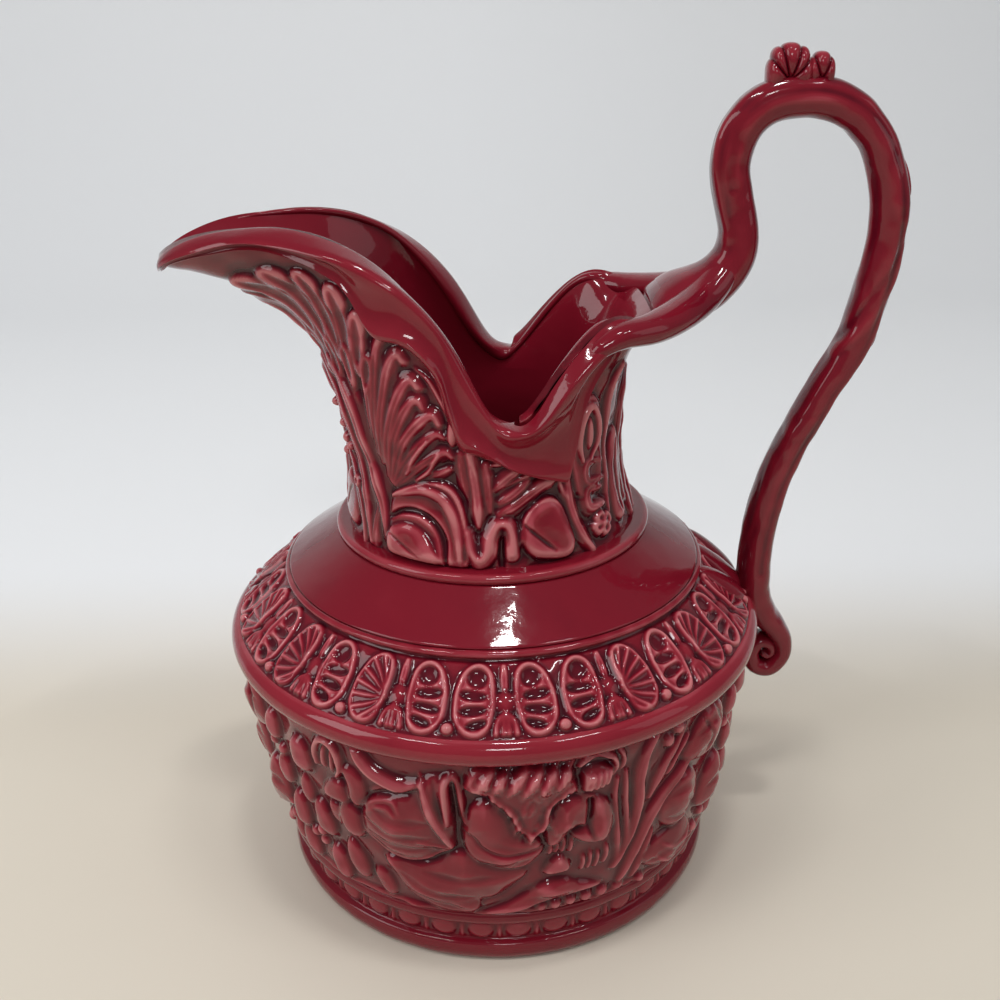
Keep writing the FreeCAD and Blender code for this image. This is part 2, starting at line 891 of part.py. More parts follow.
def grape_rows():
    rows = []
    for line_index in range(5):
        for place in range(5 - line_index):
            angle = -46.0 + (place - (4 - line_index) / 2) * 6.2
            rows.append((angle, 0.56 - line_index * 0.115, 0.058, 0.066, 0.95, 15.0))
    return rows


def make_frieze(walls):
    groups = {
        "frieze_figures": figure_shares,
        "frieze_drapery": drapery_shares,
        "frieze_fleece": fleece_shares,
        "frieze_horns": horn_shares,
        "frieze_fruit": fruit_shares,
        "frieze_reeds": reed_shares,
        "frieze_vine_leaves": vine_leaf_shares,
        "frieze_grapes": grape_rows(),
        "frieze_rocks": rock_shares}
    placed = []
    made = {}
    for name, rows in groups.items():
        # later pieces are trimmed to the ones already laid on the wall
        solids = sprigged(rows, belly_seat, frieze_height, frieze_proud, walls + placed)
        placed.extend(solids)
        made[name] = solids
    return made


# Ornament of the neck, the same on both sides: plan angle, level, half sizes as shares
# of the neck height, proud share, tilt. Level -1 is the neck's base and 0 its top


def neck_seat(turn, level):
    point = outer_point(turn, level)
    outward = outward_at(turn, level)
    upward = outer_point(turn, min(level + probe_level, 1)) - outer_point(turn, max(level - probe_level, -1))
    upward = upward - outward * upward.dot(outward)
    upward.normalize()
    return point, outward, upward


scroll_shares = [
    (138.0, -0.80, 0.20, 0.20, 1.0, 0.0),
    (123.0, -0.70, 0.22, 0.24, 1.1, 0.0),
    (67.0, -0.78, 0.21, 0.21, 1.1, 0.0),
    (92.0, -0.90, 0.07, 0.07, 1.3, 0.0)]

acanthus_shares = [
    (152.0, -0.35, 0.13, 0.34, 0.9, 10.0),
    (137.0, -0.28, 0.11, 0.30, 0.8, -12.0),
    (112.0, -0.42, 0.09, 0.36, 0.9, 10.0),
    (97.0, -0.50, 0.07, 0.38, 0.9, -4.0),
    (84.0, -0.55, 0.07, 0.32, 0.8, 8.0)]

cartouche_shares = [
    (54.0, -0.40, 0.13, 0.22, 1.0, 0.0),
    (36.0, -0.66, 0.16, 0.22, 0.9, 0.0)]

rosette_shares = [
    (30.0, -0.22, 0.10, 0.10, 1.0, 0.0),
    (124.0, -0.12, 0.07, 0.07, 1.1, 0.0)]


def both_sides(solids):
    made = []
    for solid in solids:
        made.append(solid)
        made.append(solid.mirror(Vector(0, 0, 0), Vector(0, 1, 0)))
    return made


def make_neck_ornament(walls):
    groups = {
        "neck_scrolls": scroll_shares,
        "neck_acanthus": acanthus_shares,
        "neck_cartouches": cartouche_shares,
        "neck_rosettes": rosette_shares}
    placed = []
    made = {}
    for name, rows in groups.items():
        solids = sprigged(rows, neck_seat, neck_height, ornament_proud, walls + placed)
        placed.extend(solids)
        made[name] = both_sides(solids)
    return made


# Petals on the underside of the spout, fanned about its middle line

spout_petal_shares = [(0.30, 0.30), (0.46, 0.28), (0.60, 0.24), (0.73, 0.19)]


def make_spout_petals(walls):
    solids = []
    for level, size in spout_petal_shares:
        for turn in (172.0, 160.0):
            petal = pad(neck_seat(turn, level), size * neck_height * 0.34, size * neck_height * 0.62,
                        ornament_proud * 0.8, (180.0 - turn) * 0.9)
            for other in walls + solids:
                petal = petal.cut(other)
            if petal.Solids:
                solids.append(biggest(petal))
    return both_sides(solids)


def build():
    foot_ring = make_foot_ring()
    save("foot_ring", foot_ring)
    save("floor_disc", make_floor_disc())
    save("foot_eggs", make_foot_eggs(foot_ring))
    save("foot_darts", make_foot_darts(foot_ring))

    belly = make_belly_wall()
    belt = make_belt_roll()
    shoulder = sloped_ring(shoulder_foot_radius, belt_top, shoulder_top_radius, shoulder_top, slope_wall)
    ridge = make_shoulder_ridge()
    band = sloped_ring(shoulder_top_radius, ridge_top, band_top_radius, band_top, slope_wall)
    neck_ring = make_neck_ring()
    save("belly_wall", belly)
    save("belt_roll", belt)
    save("shoulder_shell", shoulder)
    save("shoulder_ridge", ridge)
    save("shoulder_band", band)
    save("neck_ring", neck_ring)

    neck = make_neck_wall()
    mouth, spout = split_spout(make_mouth())
    save("neck_wall", neck)
    save("mouth_wall", mouth)
    save("pouring_spout", spout)
    collar_right = make_lip_collar(False)
    collar_left = make_lip_collar(True)
    save("lip_collar_right", collar_right)
    save("lip_collar_left", collar_left)

    strap = make_handle_strap()
    strap = strap.common(half_room(landing_height, handle_top * 2))
    for other in (mouth, collar_right, collar_left, neck, shoulder):
        strap = strap.cut(other)
    strap = biggest(strap)
    tail = make_handle_tail().common(half_room(0, landing_height))
    for other in (shoulder, belt):
        tail = tail.cut(other)
    tail = biggest(tail)
    save("handle_strap", strap)
    save("handle_tail", tail)
    save("handle_shells", make_handle_shells(strap))
    save("handle_twigs", make_handle_twigs())
    leaves = make_root_leaves([shoulder, ridge, belt], [strap, tail])
    save("handle_root_leaves", leaves)
    drop_leaf = make_drop_leaf(belly, tail)
    save("handle_drop_leaf", drop_leaf)

    taken = [strap, tail] + leaves.Solids
    save("shoulder_palmettes", make_palmettes([shoulder, ridge, belt], taken))
    save("shoulder_beads", make_shoulder_beads(shoulder, taken))

    frieze_walls = [belly, belt, foot_ring]
    for name, solids in make_frieze(frieze_walls).items():
        group = [clear_of(solid, [drop_leaf, tail]) for solid in repeated(solids, scene_count)]
        save(name, Part.makeCompound([piece for shape in group for piece in shape.Solids]))

    for name, solids in make_neck_ornament([neck, neck_ring, mouth, collar_right, strap]).items():
        save(name, Part.makeCompound(solids))
    save("spout_petals", Part.makeCompound(make_spout_petals([mouth, spout, collar_right])))


build()
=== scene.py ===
import math

import bpy
import numpy as np
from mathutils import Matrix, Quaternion, Vector


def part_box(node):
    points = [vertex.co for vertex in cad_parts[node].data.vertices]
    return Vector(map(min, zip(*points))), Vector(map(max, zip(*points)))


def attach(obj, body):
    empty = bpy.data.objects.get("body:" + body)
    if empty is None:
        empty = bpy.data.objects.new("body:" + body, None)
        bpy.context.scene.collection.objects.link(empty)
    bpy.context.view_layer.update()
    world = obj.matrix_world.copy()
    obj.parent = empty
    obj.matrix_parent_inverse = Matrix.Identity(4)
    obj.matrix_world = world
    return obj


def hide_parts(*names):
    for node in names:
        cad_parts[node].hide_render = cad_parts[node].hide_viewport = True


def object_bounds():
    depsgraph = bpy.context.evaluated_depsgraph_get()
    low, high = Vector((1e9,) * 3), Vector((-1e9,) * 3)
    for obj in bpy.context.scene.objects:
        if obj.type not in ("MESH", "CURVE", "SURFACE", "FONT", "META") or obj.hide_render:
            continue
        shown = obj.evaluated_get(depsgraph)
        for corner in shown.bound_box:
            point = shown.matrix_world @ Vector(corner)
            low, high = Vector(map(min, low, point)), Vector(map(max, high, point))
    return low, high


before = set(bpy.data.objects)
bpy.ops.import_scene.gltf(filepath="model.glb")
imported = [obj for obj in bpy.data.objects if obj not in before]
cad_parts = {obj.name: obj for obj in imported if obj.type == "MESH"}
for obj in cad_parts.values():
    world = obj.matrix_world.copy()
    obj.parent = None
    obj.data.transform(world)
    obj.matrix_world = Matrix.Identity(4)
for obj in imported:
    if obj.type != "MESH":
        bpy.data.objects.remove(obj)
cadLow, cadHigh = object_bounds()
print("frame loaded:", len(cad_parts), "nodes")

mm = 0.001
rng = np.random.default_rng(41)

relief = {
    "cell": 0.3,  # mm
    "ease": 0.9,  # how softly one form runs into the next
    "hidden": -9.0,  # a height that never shows
    "outlineStep": 1.6,
    "grainReach": 2.2,
    # reach in mm and weight of what tells an edge from a hollow
    "edges": ((1.3, 1.5), (3.6, 0.3))}


def smoothPath(points, closed=False, step=0.9):
    pts = np.asarray(points, float)
    if closed:
        ring = np.vstack([pts[-1:], pts, pts[:2]])
    else:
        ring = np.vstack([pts[:1] * 2 - pts[1:2], pts, pts[-1:] * 2 - pts[-2:-1]])
    out = []
    for i in range(1, len(ring) - 2):
        a, b, c, d = ring[i - 1:i + 3]
        count = max(2, int(np.linalg.norm((c - b)[:2]) / step))
        t = np.arange(count)[:, None] / count
        bend, twist = 2 * a - 5 * b + 4 * c - d, 3 * b - a - 3 * c + d
        out.append(0.5 * (2 * b + (c - a) * t + bend * t ** 2 + twist * t ** 3))
    if not closed:
        out.append(ring[-2:-1])
    return np.vstack(out)


def runAlong(points):
    # how far along its path each point lies
    steps = np.linalg.norm(np.diff(points, axis=0), axis=-1)
    return np.concatenate([0 * steps[:1], np.cumsum(steps, 0)])


def soften(field, reach, wraps):
    # a small blur, up the wall and then round it, with its reach in cells
    n = max(1, int(reach * 2.5))
    kernel = np.exp(-0.5 * (np.arange(-n, n + 1) / reach) ** 2)
    kernel /= kernel.sum()
    rows = np.pad(field, ((n, n), (0, 0)), mode="edge")
    field = sum(k * rows[i:i + field.shape[0]] for i, k in enumerate(kernel))
    cols = np.pad(field, ((0, 0), (n, n)), mode="wrap" if wraps else "edge")
    return sum(k * cols[:, i:i + field.shape[1]] for i, k in enumerate(kernel))


def awayFrom(p, q, across, up):
    # how far each cell lies from the stretch p to q, and at what share of it
    d = q - p
    t = np.clip(((across - p[0]) * d[0] + (up - p[1]) * d[1]) / max(d @ d, 1e-9), 0, 1)
    return np.hypot(across - p[0] - t * d[0], up - p[1] - t * d[1]), t


class ReliefSheet:
    # a height map in mm over a wall; places are (turn, rise) in the wall's units, widths are in mm

    def __init__(self, left, right, low, high, perTurn, wraps=True, cell=relief["cell"]):
        self.left, self.low, self.perTurn, self.cell, self.wraps = left, low, perTurn, cell, wraps
        self.cols = int(round((right - left) * perTurn / cell))
        self.rows = int(round((high - low) / cell)) + 1
        self.height = np.zeros((self.rows, self.cols))

    def spots(self, points):
        pts = np.array(points, float)
        pts[:, 0] = (pts[:, 0] - self.left) * self.perTurn
        pts[:, 1] -= self.low
        return pts

    def window(self, low, high):
        # the cells between two corners, with their places
        cols = np.arange(math.floor(low[0] / self.cell), math.ceil(high[0] / self.cell) + 1)
        bottom, top = math.floor(low[1] / self.cell), math.ceil(high[1] / self.cell)
        rows = np.arange(max(0, bottom), min(self.rows - 1, top) + 1)
        if not self.wraps:
            cols = cols[(cols >= 0) & (cols < self.cols)]
        across, up = np.meshgrid(cols * self.cell, rows * self.cell)
        return np.ix_(rows, cols % self.cols), across, up

    def lay(self, place, shape, how):
        # over: the higher of the two, eased; on: added to what is there; cut: taken away
        if shape.size == 0:
            return
        old, ease = self.height[place], relief["ease"]
        if how == "on":
            self.height[place] = old + np.maximum(shape, 0)
        elif how == "cut":
            self.height[place] = old - np.maximum(shape, 0)
        else:
            mix = np.clip(0.5 + 0.5 * (shape - old) / ease, 0, 1)
            shows = shape > relief["hidden"]
            self.height[place] = old * (1 - mix) + shape * mix + ease * mix * (1 - mix) * shows

    def oval(self, turn, rise, wide, tall, tilt, reachShare):
        # the cells round a tilted oval, and the square of how far out each lies
        spot = self.spots([(turn, rise)])[0]
        reach = max(wide, tall) * reachShare
        place, across, up = self.window(spot - reach, spot + reach)
        c, s = math.cos(math.radians(tilt)), math.sin(math.radians(tilt))
        a = ((across - spot[0]) * c - (up - spot[1]) * s) / wide
        b = ((across - spot[0]) * s + (up - spot[1]) * c) / tall
        return place, a * a + b * b

    def dome(self, turn, rise, wide, tall, high, tilt=0, how="over", flat=2):
        place, out = self.oval(turn, rise, wide, tall, tilt, 1)
        shape = high * np.sqrt(np.maximum(1 - out ** (flat / 2), 0))
        self.lay(place, np.where(out < 1, shape, relief["hidden"]), how)

    def swell(self, turn, rise, wide, tall, high, tilt):
        # a soft rise or hollow with no edge
        place, out = self.oval(turn, rise, wide, tall, tilt, 1.6)
        self.height[place] += high * (np.exp(-2 * out) - 0.006)

    def stroke(self, points, width, high, how="over", taper=(1, 1), closed=False):
        # a rounded rib along a smooth path; taper gives the width shares at its two ends
        pts = smoothPath(self.spots(points), closed)
        along = np.linspace(0, 1, len(pts))
        first = taper[0] + (1 - taper[0]) * along * 4
        last = taper[1] + (1 - taper[1]) * (1 - along) * 4
        size = width * np.minimum(1, np.minimum(first, last))
        reach = width + self.cell
        place, across, up = self.window(pts.min(0) - reach, pts.max(0) + reach)
        best = np.full(across.shape, relief["hidden"])
        for i in range(len(pts) if closed else len(pts) - 1):
            j = (i + 1) % len(pts)
            away, t = awayFrom(pts[i], pts[j], across, up)
            w = size[i] * (1 - t) + size[j] * t
            ratio = away / np.maximum(w, 0.05)
            rib = high * np.sqrt(w / width) * np.sqrt(np.maximum(1 - ratio ** 2, 0))
            best = np.maximum(best, np.where(ratio < 1, rib, relief["hidden"]))
        self.lay(place, best, how)

    def form(self, outline, high, rim, how="over"):
        # a full rounded mass inside an outline; rim is how far in it takes to reach full height
        pts = smoothPath(self.spots(outline), True, relief["outlineStep"])
        place, across, up = self.window(pts.min(0), pts.max(0))
        inside = np.zeros(across.shape, bool)
        away = np.full(across.shape, np.inf)
        for p, q in zip(pts, np.roll(pts, -1, 0)):
            away = np.minimum(away, awayFrom(p, q, across, up)[0])
            d = q - p
            crosses = (p[1] > up) != (q[1] > up)
            inside ^= crosses & (across < p[0] + (up - p[1]) * d[0] / (d[1] or 1e-9))
        fill = np.minimum(away / rim, 1)
        shape = high * np.sqrt(1 - (1 - fill) ** 2)
        self.lay(place, np.where(inside, shape, relief["hidden"]), how)

    def finish(self, glazeReach, grain, contrast):
        # the glaze rounds every edge, lies a little uneven and is thin and pink where a form stands proud;
        # the crest also carries painted highlight on the ridges and painted shade in the hollows
        noise = rng.standard_normal(self.height.shape)
        uneven = soften(noise, relief["grainReach"] / self.cell, self.wraps)
        uneven = uneven / uneven.std() * grain
        self.height = soften(self.height, glazeReach / self.cell, self.wraps) + uneven
        proud = sum((self.height - soften(self.height, reach / self.cell, self.wraps)) * weight
                    for reach, weight in relief["edges"])
        self.crest = np.clip(proud * contrast, -1, 1)

    def read(self, turn, rise):
        x = (np.asarray(turn) - self.left) * self.perTurn / self.cell
        y = np.clip((np.asarray(rise) - self.low) / self.cell, 0, self.rows - 1.001)
        if not self.wraps:
            x = np.clip(x, 0, self.cols - 1.001)
        i, j = np.floor(x).astype(int), np.floor(y).astype(int)
        fx, fy = x - i, y - j
        a, b = i % self.cols, (i + 1) % self.cols
        out = []
        for field in (self.height, self.crest):
            low = field[j, a] * (1 - fx) + field[j, b] * fx
            high = field[j + 1, a] * (1 - fx) + field[j + 1, b] * fx
            out.append(low * (1 - fy) + high * fy)
        return out


# glaze and clay


def node(tree, kind, inputs=None, **settings):
    # inputs go by socket name or number, each a value or the socket that feeds it
    made = tree.nodes.new(kind)
    for key, value in settings.items():
        setattr(made, key, value)
    for key, value in (inputs or {}).items():
        if isinstance(value, bpy.types.NodeSocket):
            tree.links.new(value, made.inputs[key])
        else:
            made.inputs[key].default_value = value
    return made


def ramp(tree, factor, stops):
    made = node(tree, "ShaderNodeValToRGB", {0: factor})
    made.color_ramp.interpolation = "EASE"
    while len(made.color_ramp.elements) < len(stops):
        made.color_ramp.elements.new(0.5)
    for element, (place, colour) in zip(made.color_ramp.elements, stops):
        element.position = place
        element.color = (*colour, 1)
    return made.outputs[0]


clouds = {
    # scale and detail of the broad clouds, the fine pits and the slow waves; depths in metres
    "noises": ((38, 3), (420, 2), (90, 1)), "pitDepth": 0.0006, "waveDepth": 0.002}


def makeGlaze(name, settings):
    material = bpy.data.materials.new(name)
    material.use_nodes = True
    tree = material.node_tree
    tree.nodes.clear()
    coords = node(tree, "ShaderNodeTexCoord").outputs["Object"]
    crest = node(tree, "ShaderNodeAttribute", attribute_name="crest").outputs["Fac"]
    cloud, grain, wave = (
        node(tree, "ShaderNodeTexNoise", {"Vector": coords, "Scale": scale, "Detail": detail}).outputs["Fac"]
        for scale, detail in clouds["noises"])
    clouding = settings["clouding"]
    shift = node(tree, "ShaderNodeMath", {0: cloud, 1: clouding, 2: -clouding / 2}, operation="MULTIPLY_ADD")
    proud = node(tree, "ShaderNodeMath", {0: crest, 1: 0.5, 2: 0.5}, operation="MULTIPLY_ADD")
    total = node(tree, "ShaderNodeMath", {0: proud.outputs[0], 1: shift.outputs[0]}, operation="ADD")
    total.use_clamp = True
    pits = node(tree, "ShaderNodeBump", {
        "Strength": settings["bump"], "Distance": clouds["pitDepth"], "Height": grain})
    skin = node(tree, "ShaderNodeBump", {
        "Strength": settings["swell"], "Distance": clouds["waveDepth"], "Height": wave,
        "Normal": pits.outputs[0]})
    shader = node(tree, "ShaderNodeBsdfPrincipled", {
        "Base Color": ramp(tree, total.outputs[0], settings["colours"]), "Roughness": settings["roughness"],
        "IOR": settings["ior"], "Specular IOR Level": settings["specular"], "Normal": skin.outputs[0],
        "Coat Weight": settings["coat"], "Coat Roughness": settings["coatRoughness"],
        "Coat IOR": settings["coatIor"], "Coat Normal": skin.outputs[0]})
    node(tree, "ShaderNodeOutputMaterial", {0: shader.outputs[0]})
    return material


oxblood = {
    # from where the glaze pools, with painted shade, to where it runs thin, with painted highlight
    "colours": [
        (0, (0.045, 0.0012, 0.006)), (0.32, (0.108, 0.0032, 0.011)), (0.5, (0.186, 0.0064, 0.0165)),
        (0.66, (0.255, 0.0155, 0.028)), (0.84, (0.40, 0.062, 0.082)), (1, (0.54, 0.16, 0.17))],
    "clouding": 0.24, "bump": 0.05, "swell": 0.11, "roughness": 0.16, "specular": 0.08, "ior": 1.45,
    "coat": 0.72, "coatRoughness": 0.03, "coatIor": 1.5}
glaze = makeGlaze("oxbloodGlaze", oxblood)

bareClay = {
    "colours": [(0, (0.42, 0.33, 0.25)), (1, (0.66, 0.56, 0.45))],
    "clouding": 0.6, "bump": 0.3, "swell": 0.1, "roughness": 0.85, "specular": 0.4, "ior": 1.45,
    "coat": 0, "coatRoughness": 0.5, "coatIor": 1.5}
clay = makeGlaze("bareClay", bareClay)
print("materials made")

# pieces from grids of points and from turned profiles


def dress(name, mesh, crest, nodes):
    # one glaze and one body for all; crest is how thin the glaze runs at each point, with painted highlight
    # and painted shade in it
    mesh.polygons.foreach_set("use_smooth", np.ones(len(mesh.polygons), bool))
    marks = mesh.attributes.new("crest", "FLOAT", "POINT")
    marks.data.foreach_set("value", crest.astype(np.float32).ravel())
    piece = bpy.data.objects.new(name, mesh)
    bpy.context.scene.collection.objects.link(piece)
    mesh.materials.append(glaze)
    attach(piece, "root")
    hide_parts(*nodes)


def gridNormals(points, wrapRows, wrapCols):
    def slope(axis, wraps):
        if wraps:
            return np.roll(points, -1, axis) - np.roll(points, 1, axis)
        return np.gradient(points, axis=axis)
    normal = np.cross(slope(1, wrapCols), slope(0, wrapRows))
    return normal / np.maximum(np.linalg.norm(normal, axis=-1, keepdims=True), 1e-12)


def gridPiece(name, points, crest, nodes, wraps=True, normals=None):
    # points (rows, cols, 3) in mm; the rows run round a closed section, so they always wrap
    rows, cols = points.shape[:2]
    nextCol = np.roll(points, -1, 1) if wraps else points[:, 1:]
    span = nextCol.shape[1]
    if np.sum(points[:, :span] * np.cross(nextCol, np.roll(points, -1, 0)[:, :span])) < 0:
        points, crest = points[::-1], crest[::-1]
        normals = None if normals is None else normals[::-1]
    index = np.arange(rows * cols).reshape(rows, cols)
    here, right = index[:, :span], np.roll(index, -1, 1)[:, :span]
    quads = np.stack([here, right, np.roll(right, -1, 0), np.roll(here, -1, 0)], -1)
    loops, starts = quads.ravel(), np.arange(rows * span) * 4
    if not wraps:  # each open end gets a cap
        starts = np.append(starts, [len(loops), len(loops) + rows])
        loops = np.concatenate([loops, index[:, 0], index[::-1, -1]])
    mesh = bpy.data.meshes.new(name)
    mesh.vertices.add(rows * cols)
    mesh.vertices.foreach_set("co", (points * mm).astype(np.float32).ravel())
    mesh.loops.add(len(loops))
    mesh.loops.foreach_set("vertex_index", loops.astype(np.int32))
    mesh.polygons.add(len(starts))
    mesh.polygons.foreach_set("loop_start", starts.astype(np.int32))
    mesh.update(calc_edges=True)
    dress(name, mesh, crest, nodes)
    if normals is None:
        normals = gridNormals(points, True, wraps)
    mesh.normals_split_custom_set_from_vertices(normals.reshape(-1, 3).astype(np.float32))


def arcRun(a, m, b, spacing):
    (ax, ay), (mx, my), (bx, by) = a, m, b
    sa, sm, sb = (x ** 2 + y ** 2 for x, y in (a, m, b))
    d = 2 * (ax * (my - by) + mx * (by - ay) + bx * (ay - my))
    ux = (sa * (my - by) + sm * (by - ay) + sb * (ay - my)) / d
    uy = (sa * (bx - mx) + sm * (ax - bx) + sb * (mx - ax)) / d
    r = math.hypot(ax - ux, ay - uy)
    t0, tm, t1 = (math.atan2(y - uy, x - ux) for x, y in (a, m, b))
    span = (t1 - t0) % (2 * math.pi)
    if (tm - t0) % (2 * math.pi) > span:
        span -= 2 * math.pi
    n = max(2, int(abs(span) * r / spacing))
    t = t0 + span * np.arange(n + 1) / n
    return np.stack([ux + r * np.cos(t), uy + r * np.sin(t)], -1)


def alongProfile(profile, spacing):
    # (radius, height) for a straight stretch, or a place on the arc and its end
    pts = [np.array(profile[0], float)[None]]
    for item in profile[1:]:
        last = pts[-1][-1]
        if len(item) == 4:
            pts.append(arcRun(last, item[:2], item[2:], spacing)[1:])
        else:
            way = np.array(item, float) - last
            n = max(1, int(np.linalg.norm(way) / spacing))
            pts.append(last + way * (np.arange(1, n + 1) / n)[:, None])
    return np.vstack(pts)


def turned(profile, turns):
    # turns are degrees from the front, positive towards the handle
    a = np.radians(turns)
    r, z = np.array(profile, float)[:, :, None].transpose(1, 0, 2)
    return np.stack([r * np.sin(a), -r * np.cos(a), z + 0 * a], -1)


def outward(profile, turns):
    way = np.gradient(profile, axis=0)
    way /= np.linalg.norm(way, axis=1, keepdims=True)
    return turned(np.stack([way[:, 1], -way[:, 0]], -1), turns)


def turnedPiece(name, outer, inner, turns, nodes, crest=0, lift=0):
    # inner is a short list that closes the section
    skin = turned(outer, turns) + outward(outer, turns) * np.atleast_2d(lift)[..., None]
    points = np.concatenate([skin, turned(inner, turns)])
    marks = np.zeros(points.shape[:2])
    marks[:len(outer)] = crest
    gridPiece(name, points, marks, nodes)


def edgeGlazeAndHighlight(profile, above=0, amount=0.45):
    # the glaze runs thin and pink where a turned edge stands proud, and a painted highlight lies along it
    bend = np.gradient(np.gradient(profile, axis=0), axis=0)
    sharp = soften(np.linalg.norm(bend, axis=1)[:, None], 1.2, False)
    glazeAndHighlight = amount * np.clip(sharp / max(sharp[2:-2].max(), 1e-6), 0, 1)
    return np.where(profile[:, 1:] > above, glazeAndHighlight, 0)


# foot ring

foot = {
    "outer": [(73, 0.05), (83.4, 0.05), (85.4, 4, 85, 8), (83, 9), (83.1, 17.3), (86.6, 20, 86, 22.6),
              (86, 23.5)],
    "inner": [(80, 23.5), (80, 14), (80, 5), (71, 5), (72.6, 0.4)],
    "spacing": 0.45, "turnSteps": 1170, "perTurn": 1.466, "groove": 13.2,
    "finish": (0.4, 0.05, 0.6),
    # eggs in the groove with a dart after each: up from the groove, half width, half height, high
    "eggs": 39, "egg": (0.4, 4.7, 3.9, 1.5), "dart": (-0.8, 0.8, 3.12, 1.05)}

footOuter = alongProfile(foot["outer"], foot["spacing"])
footTurns = np.arange(foot["turnSteps"]) * 360 / foot["turnSteps"]
footRun = runAlong(footOuter)
grooveRun = np.interp(foot["groove"], footOuter[:, 1], footRun)
footSheet = ReliefSheet(0, 360, 0, footRun[-1], foot["perTurn"])
for k in range(foot["eggs"]):
    for place, sprig in ((k + 0.5, "egg"), (k + 1, "dart")):
        up, *size = foot[sprig]
        footSheet.dome(place * 360 / foot["eggs"], grooveRun + up, *size)
footSheet.finish(*foot["finish"])
lift, crest = footSheet.read(footTurns, footRun[:, None])
lift = lift * np.clip((footOuter[:, 1:] - 0.2) / 2, 0, 1)  # nothing stands below the foot
turnedPiece(
    "footRing", footOuter, foot["inner"], footTurns, ("foot_ring", "foot_eggs", "foot_darts"), crest, lift)
print("foot ring made")

# belly frieze: one scene that repeats, with places in (degrees from the front, mm up)

frieze = {
    "outer": [(86, 23.5), (91.6, 59, 95.3, 94.5)], "inner": [(90, 94.5), (86, 59), (80, 23.5)],
    "low": 23.5, "high": 94.5, "spacing": 0.44, "perTurn": 1.62, "scenes": 3, "cols": 400,
    "highShare": 1.12, "rimShare": 1.7, "fade": 1.2, "finish": (0.46, 0.16, 0.64),
    # strokes: half width, high, how, width shares at the ends
    "fold": (1.7, 0.5, "cut", (0.2, 0.2)), "finger": (0.85, 1.5, "on"),
    "grass": (0.8, 2.2, "over", (0.8, 0.3)), "lock": (1.1, 1.1, "on", (0.4, 0.6)),
    "strand": (0.9, 0.9, "on", (0.5, 0.4)), "tuft": (0.8, 0.45, "on", (0.3, 0.3)), "ground": (1.6, 1.2),
    "ends": (0.5, 0.5),
    "stone": (2.6, 2.8, 2.6)}  # half width, half height, high
sceneTurns = 360 / frieze["scenes"]
bellyOuter = alongProfile(frieze["outer"], frieze["spacing"])
friezeSheet = ReliefSheet(-sceneTurns / 2, sceneTurns / 2, frieze["low"], frieze["high"], frieze["perTurn"])

